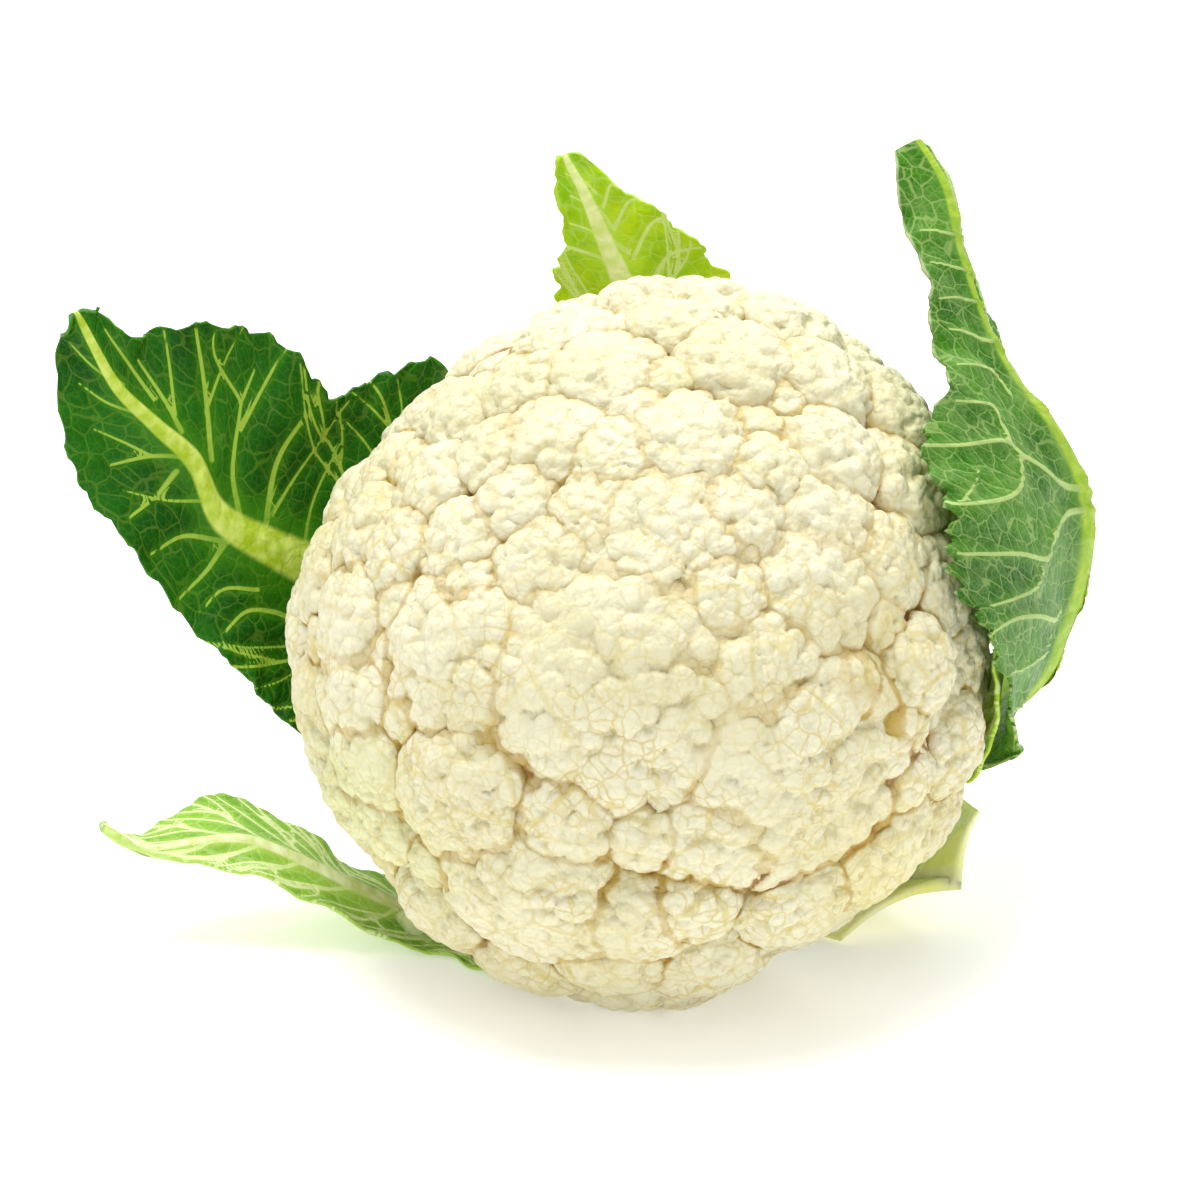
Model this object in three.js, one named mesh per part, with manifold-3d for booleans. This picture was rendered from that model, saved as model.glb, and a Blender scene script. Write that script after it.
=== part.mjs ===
// A cauliflower head with its inner leaves, trimmed for the shop and lying on its side.
// The curd grows as a dome of florets on a short stem, and each leaf springs from that stem
// behind the curd. Millimetres, +Z up, with the origin under the curd where it rests.
import * as THREE from "three";
import { mergeVertices } from "three/addons/utils/BufferGeometryUtils.js";
import Module from "manifold-3d";

const wasm = await Module();
wasm.setup();

// The head: half width across the crown, and how far the dome and the back reach along the stem's line.
const HEAD_RADIUS = 83.3;
const CROWN_REACH = 69;
const CORE_RADIUS = 67;
const CORE_FRONT = 55;
const CORE_BACK = 50;
const CORE_RIDGES = 11;
const CORE_RIDGE_RISE = 0.035;
const HEAD_HEIGHT = 75.6;
const HEAD_OFFSET = [-1.5, 26];

// Where leaves pressed on the growing head, its side is hollow: bearing, depth and tightness.
// An undercut is hollow only behind the widest ring, and full by this cosine of the tilt.
const HOLLOWS = [[145, 8, 4], [12, 5, 12], [222, 3.5, 20]];
const UNDERCUTS = [[310, 6, 30]];
const UNDERCUT_FULL = 0.35;

// The stem's line leans back from the crown, which looks up and to the left.
const CROWN_SWING = THREE.MathUtils.degToRad(-20);
const CROWN_LIFT = THREE.MathUtils.degToRad(38);

// Leaf points are given along a sight line that comes down at this angle: right, up, towards the eye.
const SIGHT_DROP = THREE.MathUtils.degToRad(20);

// The stem behind the curd.
const STEM_RADIUS = 20;
const STEM_START = 46;
const STEM_END = 97;
const STEM_SIDES = 28;
const FIT_GAP = 0.3;
const CUT_TOLERANCE = 0.05;

// Mesh fineness.
const CURD_DETAIL = 19;
const CURD_SAMPLE = 1.6;
const GOLDEN_TURN = Math.PI * (3 - Math.sqrt(5));

// Florets as [bearing round the crown, tilt from the crown, radius, rise]: degrees, then millimetres.
const FLORETS = [
  [298, 32, 26], [324, 66, 27], [336, 46, 14], [306, 64, 15],
  [254, 55, 17], [277, 53, 11.5], [268, 71, 19], [286, 74, 13],
  [236, 33, 19.5], [218, 22, 10], [201, 51, 14], [215, 57, 15], [228, 64, 15],
  [260, 8, 14], [2, 22, 19.5], [44, 8, 11], [347, 33, 11.5], [19, 34, 12],
  [0, 50, 15], [18, 51, 13.5], [12, 63, 12], [355, 73, 11], [348, 93, 12], [337, 106, 12],
  [35, 55, 12], [32, 41, 9], [52, 31, 14], [110, 23, 13], [70, 19, 10],
  [94, 39, 14.5], [118, 39, 11], [66, 53, 14.5], [53, 64, 13], [83, 54, 11],
  [262, 93, 14, 0.5], [278, 106, 18, 2], [292, 94, 14], [248, 86, 13],
  [188, 22, 11], [155, 13, 9.5], [140, 26, 10], [163, 34, 11], [187, 36, 10.5],
  [298, 17, 8.5], [293, 57, 8], [296, 73, 9.5], [323, 33, 10], [236, 70, 10],
];
const FILL_TRIES = 700;
const FILL_LAST_TILT = 121;
const FILL_SPACING_FRONT = 0.98;
const FILL_SPACING_RIM = 0.8;
const FILL_RIM_TILT = 72;

// Lobes on a floret: the pitch between them grows with the floret.
const LOBE_PITCH_BASE = 4;
const LOBE_PITCH_SHARE = 0.45;
const LOBE_OVERLAP = 1.5;
const LOBE_LAST_COSINE = -0.25;
const LOBE_BED = 0.32;

// Leaves bend round this oval about the curd, and keep this far above the surface below.
const HUG_BACK = 70.5;
const LEAF_LIFT = 1.4;
const RIB_INSIDE = 0.15;
const BLADE_SHARES = [-1, -0.7, -0.42, -0.17, 0, 0.17, 0.42, 0.7, 1];

const toRadians = THREE.MathUtils.degToRad;

// A number from 0 to 1 that is fixed for each whole number.
function scatter(n) {
  const s = Math.sin(n * 12.9898 + 4.1414) * 43758.5453;
  return s - Math.floor(s);
}

// The head's own axes as seen along the sight line: across, up the crown, and out of the crown.
function headAxes() {
  const crown = new THREE.Vector3(
    Math.sin(CROWN_SWING) * Math.cos(CROWN_LIFT),
    -Math.cos(CROWN_SWING) * Math.cos(CROWN_LIFT),
    Math.sin(CROWN_LIFT),
  );
  const across = new THREE.Vector3(0, 0, 1).cross(crown).normalize();
  const up = crown.clone().cross(across);
  return { across, up, crown };
}

const HEAD = headAxes();
const SIGHT = {
  right: new THREE.Vector3(1, 0, 0),
  up: new THREE.Vector3(0, Math.sin(SIGHT_DROP), Math.cos(SIGHT_DROP)),
  near: new THREE.Vector3(0, -Math.cos(SIGHT_DROP), Math.sin(SIGHT_DROP)),
};

function fromSight([right, up, near]) {
  return new THREE.Vector3()
    .addScaledVector(SIGHT.right, right)
    .addScaledVector(SIGHT.up, up)
    .addScaledVector(SIGHT.near, near);
}

function fromHead(bearing, radius, along) {
  return new THREE.Vector3()
    .addScaledVector(HEAD.across, radius * Math.cos(bearing))
    .addScaledVector(HEAD.up, radius * Math.sin(bearing))
    .addScaledVector(HEAD.crown, along);
}

function headDirection(bearing, tilt) {
  return fromHead(bearing, Math.sin(tilt), Math.cos(tilt));
}

// Distance from the head's centre to the smooth dome, or to the back below its widest ring.
function ovalReach(direction, side, front, back) {
  const along = direction.dot(HEAD.crown);
  const across = Math.sqrt(Math.max(0, 1 - along * along));
  const end = along > 0 ? front : back;
  return 1 / Math.hypot(across / side, along / end);
}

// Half width of the crown on the side that a direction points to.
function headSide(direction) {
  const bearing = Math.atan2(direction.dot(HEAD.up), direction.dot(HEAD.across));
  const press = (side, [at, depth, tightness]) =>
    side - depth * Math.max(0, Math.cos(bearing - toRadians(at))) ** tightness;
  const behind = THREE.MathUtils.clamp(-direction.dot(HEAD.crown) / UNDERCUT_FULL, 0, 1);
  const under = UNDERCUTS.map(([at, depth, tightness]) => [at, depth * behind, tightness]);
  return [...HOLLOWS, ...under].reduce(press, HEAD_RADIUS);
}

// The florets that are told apart on the head, then others wherever the dome is still bare.
function allFlorets() {
  const florets = FLORETS.map(([bearing, tilt, radius, rise = 0]) => ({
    direction: headDirection(toRadians(bearing), toRadians(tilt)),
    radius,
    rise,
  }));
  const lastCosine = Math.cos(toRadians(FILL_LAST_TILT));
  for (let i = 0; i < FILL_TRIES; i++) {
    const cosine = 1 - ((i + 0.5) / FILL_TRIES) * (1 - lastCosine);
    const tilt = Math.acos(cosine);
    const direction = headDirection(i * GOLDEN_TURN, tilt);
    const radius = 8 + 5 * (tilt / toRadians(90)) + 2.5 * scatter(i);
    const spacing = tilt < toRadians(FILL_RIM_TILT) ? FILL_SPACING_FRONT : FILL_SPACING_RIM;
    const clear = florets.every((other) => {
      const apart = direction.angleTo(other.direction) * HEAD_RADIUS;
      return apart > spacing * (radius + other.radius);
    });
    if (clear) florets.push({ direction, radius, rise: 0 });
  }
  return florets;
}

// Each floret is a ball sunk in the dome with smaller balls, its lobes, spread over it.
function curdBalls() {
  const balls = [];
  allFlorets().forEach((floret, index) => {
    const { direction, radius, rise } = floret;
    const dome = ovalReach(direction, headSide(direction), CROWN_REACH, CROWN_REACH);
    const centre = direction.clone().multiplyScalar(dome + rise - radius);
    const pitch = LOBE_PITCH_BASE + LOBE_PITCH_SHARE * radius;
    const lobe = pitch / LOBE_OVERLAP;
    balls.push({ centre, radius: radius - LOBE_BED * lobe });
    const east = new THREE.Vector3(0, 0, 1).cross(direction).normalize();
    const north = direction.clone().cross(east);
    const capArea = 2 * Math.PI * radius * radius * (1 - LOBE_LAST_COSINE);
    const count = Math.round(capArea / (0.866 * pitch * pitch));
    for (let j = 0; j < count; j++) {
      const seed = index * 97 + j;
      const wobble = 0.5 * (scatter(seed + 0.37) - 0.5);
      const cosine = 1 - ((j + 0.5 + wobble) / count) * (1 - LOBE_LAST_COSINE);
      const sine = Math.sqrt(1 - cosine * cosine);
      const turn = j * GOLDEN_TURN + index + 0.5 * (scatter(seed + 0.71) - 0.5);
      const out = direction.clone().multiplyScalar(cosine)
        .addScaledVector(east, sine * Math.cos(turn))
        .addScaledVector(north, sine * Math.sin(turn));
      const size = lobe * (0.86 + 0.3 * scatter(seed));
      balls.push({
        centre: centre.clone().addScaledVector(out, radius - size),
        radius: size,
      });
    }
  });
  return balls;
}

// How far the curd reaches along a direction from the head's centre.
function curdReach(direction, balls) {
  const bearing = Math.atan2(direction.dot(HEAD.up), direction.dot(HEAD.across));
  const ridge = 1 + CORE_RIDGE_RISE * Math.cos(CORE_RIDGES * bearing);
  let reach = ovalReach(direction, CORE_RADIUS * ridge, CORE_FRONT, CORE_BACK);
  for (const { centre, radius } of balls) {
    const along = direction.dot(centre);
    const inside = along * along - centre.lengthSq() + radius * radius;
    if (inside > 0) reach = Math.max(reach, along + Math.sqrt(inside));
  }
  return reach;
}

function mergedPositions(geometry) {
  geometry.deleteAttribute("normal");
  geometry.deleteAttribute("uv");
  return mergeVertices(geometry, 1e-4);
}

// The dome of florets in one piece, level where the stem begins and flat where it has settled.
function curdGeometry() {
  const balls = curdBalls();
  const geometry = mergedPositions(new THREE.IcosahedronGeometry(1, CURD_DETAIL));
  const place = geometry.getAttribute("position");
  const direction = new THREE.Vector3();
  for (let i = 0; i < place.count; i++) {
    direction.fromBufferAttribute(place, i).normalize();
    const side = new THREE.Vector3(0.3, 0.5, 0.81).cross(direction).normalize();
    const top = direction.clone().cross(side);
    let reach = curdReach(direction, balls);
    for (let k = 0; k < 6; k++) {
      const turn = (k * Math.PI) / 3;
      const spread = CURD_SAMPLE / HEAD_RADIUS;
      const near = direction.clone()
        .addScaledVector(side, spread * Math.cos(turn))
        .addScaledVector(top, spread * Math.sin(turn)).normalize();
      reach += curdReach(near, balls);
    }
    direction.multiplyScalar(reach / 7);
    const sunk = -STEM_START - direction.dot(HEAD.crown);
    if (sunk > 0) direction.addScaledVector(HEAD.crown, sunk);
    place.setXYZ(i, direction.x, direction.y, Math.max(direction.z, -HEAD_HEIGHT));
  }
  return geometry;
}

// The stem is turned about the head's own line and ends in a flat knife cut.
function stemGeometry(gap) {
  const r = STEM_RADIUS + gap;
  const first = STEM_START + FIT_GAP - gap;
  const profile = [
    [0, first], [r * 1.25, first], [r * 1.05, STEM_START + 12],
    [r, STEM_START + 26], [r * 1.02, STEM_END - 14], [r * 0.96, STEM_END - 1.5 + gap],
    [r * 0.9, STEM_END + gap], [0, STEM_END + gap],
  ].map(([radius, back]) => new THREE.Vector2(radius, -back));
  const geometry = new THREE.LatheGeometry(profile.reverse(), STEM_SIDES);
  const toHead = new THREE.Matrix4().makeBasis(
    HEAD.up, HEAD.crown, HEAD.across,
  );
  return mergedPositions(geometry.applyMatrix4(toHead));
}

function solidFrom(geometry) {
  return new wasm.Manifold(new wasm.Mesh({
    numProp: 3,
    vertProperties: new Float32Array(geometry.getAttribute("position").array),
    triVerts: new Uint32Array(geometry.index.array),
  }));
}

function geometryFrom(solid) {
  const made = solid.simplify(CUT_TOLERANCE).getMesh();
  return new THREE.BufferGeometry()
    .setAttribute("position", new THREE.BufferAttribute(made.vertProperties, 3))
    .setIndex(new THREE.BufferAttribute(made.triVerts, 1));
}

// A leaf's mid surface: the midrib and the two edges run from the stem to the tip. The blade
// lies over the curd and on the surface below where it meets them.
function leafSurface(leaf) {
  const curve = (points) => new THREE.CatmullRomCurve3(points.map(fromSight), false, "catmullrom", 0.5);
  const rib = curve(leaf.rib);
  const left = curve(leaf.left);
  const right = curve(leaf.right);
  return (u, v) => {
    const middle = rib.getPoint(u);
    const across = (v < 0 ? left : right).getPoint(u).sub(middle);
    const width = across.length();
    const share = Math.abs(v);
    const face = rib.getTangent(u).cross(across).normalize().multiplyScalar(v > 0 ? -1 : 1);
    const arch = leaf.arch * width * share * (1 - share) * 4;
    const wave = leaf.wave * share * share * Math.sin(2 * Math.PI * leaf.waves * u + (v < 0 ? 2 : 0));
    const point = middle.addScaledVector(across, share).addScaledVector(face, wave - arch);
    const outward = point.clone().normalize();
    const clear = ovalReach(outward, headSide(outward) + leaf.hug, CROWN_REACH + leaf.hug, HUG_BACK + leaf.hug);
    if (point.length() < clear) point.setLength(clear);
    point.z = Math.max(point.z, LEAF_LIFT - HEAD_HEIGHT);
    return point;
  };
}

// A leaf as one closed solid: two skins either side of the mid surface, thick along the midrib.
function leafSolid(leaf, gap) {
  const surface = leafSurface(leaf);
  const rows = leaf.rows;
  const columns = BLADE_SHARES.length;
  const step = 1e-3;
  const inner = [];
  const outer = [];
  for (let i = 0; i <= rows; i++) {
    const u = i / rows;
    const cut = i % 2 && u > leaf.toothFrom ? leaf.tooth : 0;
    const ribWidth = THREE.MathUtils.lerp(leaf.ribWidth[0], leaf.ribWidth[1], u);
    const ribDepth = THREE.MathUtils.lerp(leaf.ribDepth[0], leaf.ribDepth[1], u);
    const middle = surface(u, 0);
    for (const share of BLADE_SHARES) {
      const v = share * (1 - cut * Math.abs(share) ** 3) * (1 + gap / 10);
      const point = surface(u, v);
      const ahead = surface(Math.min(1, u + step), v).sub(surface(Math.max(0, u - step), v));
      const aside = surface(u, v + step).sub(surface(u, v - step));
      const normal = aside.cross(ahead).normalize();
      const past = i === 0 ? -gap : i === rows ? gap : 0;
      point.addScaledVector(ahead.normalize(), past);
      const swell = ribDepth * Math.exp(-((point.distanceTo(middle) / ribWidth) ** 2));
      const half = leaf.blade / 2 + gap;
      inner.push(point.clone().addScaledVector(normal, half + RIB_INSIDE * swell));
      outer.push(point.clone().addScaledVector(normal, -half - (1 - RIB_INSIDE) * swell));
    }
  }
  const points = [...inner, ...outer];
  for (const point of points) point.z = Math.max(point.z, -HEAD_HEIGHT - gap);
  const back = inner.length;
  const faces = [];
  const at = (i, j) => i * columns + j;
  for (let i = 0; i < rows; i++) {
    for (let j = 0; j < columns - 1; j++) {
      const [a, b, c, d] = [at(i, j), at(i, j + 1), at(i + 1, j + 1), at(i + 1, j)];
      faces.push(a, b, c, a, c, d, back + a, back + c, back + b, back + a, back + d, back + c);
    }
  }
  const wall = (a, b) => faces.push(a, back + a, b, b, back + a, back + b);
  for (let j = 0; j < columns - 1; j++) {
    wall(at(0, j), at(0, j + 1));
    wall(at(rows, j + 1), at(rows, j));
  }
  for (let i = 0; i < rows; i++) {
    wall(at(i + 1, 0), at(i, 0));
    wall(at(i, columns - 1), at(i + 1, columns - 1));
  }
  const geometry = new THREE.BufferGeometry()
    .setAttribute("position", new THREE.Float32BufferAttribute(points.flatMap((p) => p.toArray()), 3))
    .setIndex(faces);
  return solidFrom(geometry);
}

// The leaves, each as stations from the stem to the tip: right, up, towards the eye.
const LEAVES = [
  {
    name: "leaf_left",
    rib: [[3, -22, -70], [-27, -8, -64], [-57, 8, -52], [-73, 14, -42], [-86, 20, -32], [-97, 27, -25],
      [-102, 39, -20], [-110, 47, -14], [-118, 55, -9], [-123, 64, -5], [-127, 72, -2]],
    left: [[5, -36, -68], [-32, -26, -60], [-72, -26, -42], [-85, -18, -34], [-95, -8, -28], [-107, 5, -24],
      [-119, 21, -18], [-128, 33, -14], [-132, 47, -10], [-132, 64, -6], [-129.5, 71, -2]],
    right: [[3, -8, -68], [-20, 18, -62], [-46, 62, -54], [-58, 62, -46], [-71, 55.5, -36], [-81, 67, -25],
      [-94, 71, -18], [-108, 70, -12], [-115, 67.5, -8], [-121, 72, -5], [-124.5, 73, -2]],
    hug: 1.6, arch: 0.06, wave: 2, waves: 5, tooth: 0.05, toothFrom: 0.3,
    ribWidth: [11, 1.5], ribDepth: [8, 1], blade: 1.2, rows: 34, colour: 0x2f7a1e,
  },
  {
    name: "leaf_top",
    rib: [[19, -6, -74], [14, 28, -68], [8, 52, -56], [-2.5, 77, -42], [-9, 92, -34], [-13.5, 102, -29], [-18, 110, -27]],
    left: [[5, -4, -70], [-4, 26, -64], [-14, 52, -54], [-21, 80, -42], [-18.5, 91, -35], [-20.5, 103, -30], [-19.5, 109.5, -27]],
    right: [[33, -8, -70], [34, 26, -64], [34, 54, -54], [22, 82, -42], [7.5, 96, -35], [-5, 103, -30], [-13.5, 111, -27]],
    hug: 1.6, arch: 0.08, wave: 1, waves: 5, tooth: 0.1, toothFrom: 0.4,
    ribWidth: [10, 1.5], ribDepth: [7, 1], blade: 1.2, rows: 22, colour: 0x86b81a,
  },
  {
    name: "leaf_right",
    rib: [[40, -28, -74], [62, -27, -60], [87, -11, -44], [94, 2, -34], [98, 17, -22], [97, 30.5, -12],
      [90.5, 43.5, -2], [80.5, 55.5, 5], [73.5, 68.5, 9], [68.5, 84, 12], [66, 98, 12], [60, 109, 12]],
    left: [[46, -14, -82], [64, -14, -76], [90, -8.5, -68], [96.5, 5.5, -60], [99.5, 20, -50], [98.5, 33.5, -40],
      [92.5, 46, -30], [84.5, 57, -22], [79, 65.5, -14], [72.5, 83, -6], [67, 99.5, 0], [63.5, 108.5, 8]],
    right: [[38, -42, -72], [81.5, -28.9, -10], [77.8, -15.3, 20], [73.2, -1, 39], [65.4, 12.9, 48], [63.4, 25.8, 46],
      [59.4, 41.3, 42], [64.8, 54.8, 30], [63, 69, 25], [60.5, 81, 21], [56, 96, 17], [55, 107, 14]],
    hug: 5, arch: 0.08, wave: 1.4, waves: 6, tooth: 0.06, toothFrom: 0.12,
    ribWidth: [9.5, 1.6], ribDepth: [8, 1.2], blade: 1.2, rows: 40, colour: 0x3f8436,
  },
  {
    name: "leaf_inner",
    rib: [[30, -22, -60], [55, -26, -44], [72, -27, -24], [77, -21, -8], [77, -12, 4], [73, -2, 14]],
    left: [[24, -28, -58], [50, -34, -40], [69, -35, -10], [75, -26, 6], [75, -15, 18], [72, -3, 26]],
    right: [[36, -16, -62], [60, -18, -46], [75, -20, -34], [79, -14, -20], [79, -7, -10], [75, -1, 4]],
    hug: 1.6, arch: 0.1, wave: 0.6, waves: 4, tooth: 0.15, toothFrom: 0.4,
    ribWidth: [6, 1.2], ribDepth: [4, 0.6], blade: 1.2, rows: 12, colour: 0x7fb52a,
  },
  {
    name: "leaf_low_left",
    rib: [[8, -38, -82], [-15, -52, -64], [-43, -67, -24], [-56, -62.5, -30], [-68.5, -56.5, -27], [-80, -51, -24],
      [-91, -47, -21], [-102, -47.5, -18], [-112.5, -48.5, -15], [-122.5, -43.5, -13]],
    left: [[14, -46, -78], [0, -64, -40], [-27.5, -77, -6], [-45, -73.5, -16], [-61.5, -68, -17], [-74.5, -61, -16],
      [-87, -55.5, -15], [-99.5, -52.5, -14], [-111.5, -50, -14], [-122, -44.5, -12]],
    right: [[2, -28, -86], [-22, -38, -78], [-47.5, -63, -44], [-56, -59, -48], [-68, -54, -46], [-78, -46, -42],
      [-93.5, -38, -38], [-106.5, -39.5, -34], [-115, -46.5, -24], [-122.5, -42.5, -14]],
    hug: 1.6, arch: 0.1, wave: 0.6, waves: 6, tooth: 0.1, toothFrom: 0.4,
    ribWidth: [9, 1.2], ribDepth: [6, 0.8], blade: 1.2, rows: 30, colour: 0x5f9c22,
  },
  {
    name: "leaf_low_right",
    rib: [[24, -40, -82], [44, -54, -62], [58, -60, -44], [73.5, -58.5, -32]],
    left: [[14, -46, -76], [24, -62, -52], [35, -68, -32], [45.5, -70.5, -24]],
    right: [[34, -30, -84], [58, -36, -70], [70, -36, -54], [78.5, -41.5, -38]],
    hug: 1.6, arch: 0.12, wave: 0, waves: 1, tooth: 0, toothFrom: 1,
    ribWidth: [12, 12], ribDepth: [5, 1.6], blade: 1.4, rows: 9, colour: 0xdfe6a0,
  },
];

// Outer leaves that were cut off short: the thick bases left round the stem, as bearings
// round it with the base's width and length.
const LEAF_BASES = [
  { name: "leaf_base_upper_left", bearing: 138, width: 25, length: 52 },
  { name: "leaf_base_upper_right", bearing: 40, width: 27, length: 56 },
  { name: "leaf_base_under", bearing: 268, width: 24, length: 44 },
];

// A cut base follows the back of the curd outwards from the stem.
function leafBase({ name, bearing, width, length }) {
  const around = toRadians(bearing);
  const station = (share, side) => {
    const radius = 17 + length * share;
    const along = -90 + 58 * share ** 1.4;
    const turn = around + (side * width * (0.7 + 0.5 * share)) / (2 * (radius + 14));
    const point = fromHead(turn, radius, along);
    return [point.dot(SIGHT.right), point.dot(SIGHT.up), point.dot(SIGHT.near)];
  };
  const shares = [0, 0.33, 0.67, 1];
  return {
    name,
    rib: shares.map((share) => station(share, 0)),
    left: shares.map((share) => station(share, -1)),
    right: shares.map((share) => station(share, 1)),
    hug: 1.6, arch: 0.14, wave: 0, waves: 1, tooth: 0, toothFrom: 1,
    ribWidth: [12, 9], ribDepth: [5, 3], blade: 1.6, rows: 8, colour: 0xd3e09a,
  };
}

const COLOURS = { curd: 0xf3ecd0, stem: 0xdfe6b4 };

function meshFor(name, geometry, colour, roughness) {
  const material = new THREE.MeshStandardMaterial({ color: colour, roughness, metalness: 0 });
  const mesh = new THREE.Mesh(geometry, material);
  mesh.name = name;
  return mesh;
}

const head = new THREE.Group();
head.position.set(HEAD_OFFSET[0], HEAD_OFFSET[1], HEAD_HEIGHT);

const curd = curdGeometry();
head.add(meshFor("curd", curd, COLOURS.curd, 0.6));
head.add(meshFor("stem", stemGeometry(0), COLOURS.stem, 0.6));

// Every leaf keeps a hair's gap from the stem, the curd and the leaves placed before it.
const clearance = 1 + FIT_GAP / CORE_BACK;
const taken = [
  solidFrom(stemGeometry(FIT_GAP)),
  solidFrom(curd.clone().scale(clearance, clearance, clearance)),
];
for (const leaf of [...LEAVES, ...LEAF_BASES.map(leafBase)]) {
  const parts = leafSolid(leaf, 0).subtract(wasm.Manifold.union(taken)).decompose();
  const whole = parts.reduce((a, b) => (a.volume() > b.volume() ? a : b));
  head.add(meshFor(leaf.name, geometryFrom(whole), leaf.colour, 0.5));
  taken.push(leafSolid(leaf, 2.4 * FIT_GAP));
}

const cauliflower = new THREE.Group();
cauliflower.add(head);

export default cauliflower;
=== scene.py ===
import math

import bmesh
import bpy
import numpy as np
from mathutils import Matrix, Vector, kdtree


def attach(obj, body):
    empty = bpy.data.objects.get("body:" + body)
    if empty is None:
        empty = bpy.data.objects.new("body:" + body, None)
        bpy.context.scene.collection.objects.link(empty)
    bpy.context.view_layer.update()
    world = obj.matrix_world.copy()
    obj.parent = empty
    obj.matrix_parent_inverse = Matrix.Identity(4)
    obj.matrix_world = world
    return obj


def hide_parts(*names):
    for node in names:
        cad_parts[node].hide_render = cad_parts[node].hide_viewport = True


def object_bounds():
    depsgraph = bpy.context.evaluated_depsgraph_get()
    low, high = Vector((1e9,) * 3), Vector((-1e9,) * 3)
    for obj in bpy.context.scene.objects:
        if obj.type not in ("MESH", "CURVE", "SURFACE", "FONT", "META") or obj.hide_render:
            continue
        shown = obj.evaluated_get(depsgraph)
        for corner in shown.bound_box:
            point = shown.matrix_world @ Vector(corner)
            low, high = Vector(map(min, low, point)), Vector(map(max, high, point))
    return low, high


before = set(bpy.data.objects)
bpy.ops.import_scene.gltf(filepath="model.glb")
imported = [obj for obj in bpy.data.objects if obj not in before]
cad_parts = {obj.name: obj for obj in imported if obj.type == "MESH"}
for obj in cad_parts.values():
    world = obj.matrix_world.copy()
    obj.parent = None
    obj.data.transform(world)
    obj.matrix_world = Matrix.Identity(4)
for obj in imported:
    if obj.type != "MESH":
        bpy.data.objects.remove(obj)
cad_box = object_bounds()

# Branches under the curd.
# The curd grows on short pale branches that leave the stem and fork again and again.
# They show only from behind, between the outer florets, as one closed ridged bowl.
HEAD_CENTRE = np.array((-1.5, 26.0, 75.6))
HEAD_RADIUS = 83.3
CROWN_REACH = 69.0
CORE_RADIUS, CORE_FRONT, CORE_BACK = 67.0, 55.0, 50.0
STEM_START = 46.0
HOLLOWS = ((145, 8, 4), (12, 5, 12), (222, 3.5, 20))
UNDERCUT = (310, 6, 30)
GOLDEN_TURN = math.pi * (3 - math.sqrt(5))
CROWN_SWING, CROWN_LIFT = math.radians(-20), math.radians(38)
crown = np.array((
    math.sin(CROWN_SWING) * math.cos(CROWN_LIFT),
    -math.cos(CROWN_SWING) * math.cos(CROWN_LIFT),
    math.sin(CROWN_LIFT),
))
across = np.cross((0, 0, 1), crown)
across /= np.linalg.norm(across)
head_up = np.cross(crown, across)


def from_head(bearing, radius, along):
    """A point by its bearing round the crown, its distance from the stem's line and its place on it."""
    b = np.asarray(bearing)[..., None]
    r = np.asarray(radius)[..., None]
    z = np.asarray(along)[..., None]
    return across * r * np.cos(b) + head_up * r * np.sin(b) + crown * z


def dome_reach(out, more=0.0, back=CROWN_REACH):
    """How far the smooth dome reaches from the head's centre, with the hollows left by leaves."""
    along = out @ crown
    bearing = np.arctan2(out @ head_up, out @ across)
    side = np.full(along.shape, HEAD_RADIUS)
    for at, depth, tight in (*HOLLOWS, UNDERCUT):
        behind = np.clip(-along / 0.35, 0, 1) if at == UNDERCUT[0] else 1
        side = side - depth * behind * np.maximum(0, np.cos(bearing - math.radians(at))) ** tight
    end = np.where(along > 0, CROWN_REACH, back) + more
    wide = np.sqrt(np.maximum(0, 1 - along * along))
    return 1 / np.hypot(wide / (side + more), along / end)


def settle(points):
    """The head has settled: it is level where the stem begins and flat on the table."""
    sunk = np.maximum(0, -STEM_START - points @ crown)
    points = points + sunk[:, None] * crown
    points[:, 2] = np.maximum(points[:, 2], -HEAD_CENTRE[2])
    return points


def smooth_step(low, high, x):
    t = np.clip((x - low) / (high - low), 0, 1)
    return t * t * (3 - 2 * t)


def mesh_places(mesh):
    co = np.empty(len(mesh.vertices) * 3, np.float32)
    mesh.vertices.foreach_get("co", co)
    return co.reshape(-1, 3).astype(float)


def move_points(mesh, points):
    """Puts a mesh's points at places in millimetres from the head's centre."""
    placed = (points + HEAD_CENTRE) * 0.001
    mesh.vertices.foreach_set("co", placed.astype(np.float32).ravel())
    mesh.update()


def paint_points(mesh, name, values):
    layer = mesh.attributes.new(name, "FLOAT", "POINT")
    layer.data.foreach_set("value", np.asarray(values, np.float32))


def show(name, mesh, material, node):
    """A finished piece: smooth shaded, in the root body, in place of its CAD node."""
    mesh.polygons.foreach_set("use_smooth", [True] * len(mesh.polygons))
    piece = bpy.data.objects.new(name, mesh)
    bpy.context.scene.collection.objects.link(piece)
    mesh.materials.append(material)
    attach(piece, "root")
    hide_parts(node)
    return piece


def round_ball(level):
    bm = bmesh.new()
    bmesh.ops.create_icosphere(bm, subdivisions=level, radius=1.0)
    mesh = bpy.data.meshes.new("ball_%d" % level)
    bm.to_mesh(mesh)
    bm.free()
    return mesh


def add_node(tree, kind, sockets=None, **settings):
    """A shader node with its sockets given as numbers, colours or links from other nodes."""
    node = tree.nodes.new(kind)
    for key, value in settings.items():
        setattr(node, key, value)
    for key, value in (sockets or {}).items():
        if isinstance(value, bpy.types.NodeSocket):
            tree.links.new(value, node.inputs[key])
        else:
            node.inputs[key].default_value = value
    return node


def sums(tree, operation, a, b=0.0, c=0.0, clamp=False):
    node = add_node(tree, "ShaderNodeMath", {0: a, 1: b, 2: c}, operation=operation)
    node.use_clamp = clamp
    return node.outputs[0]


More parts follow.
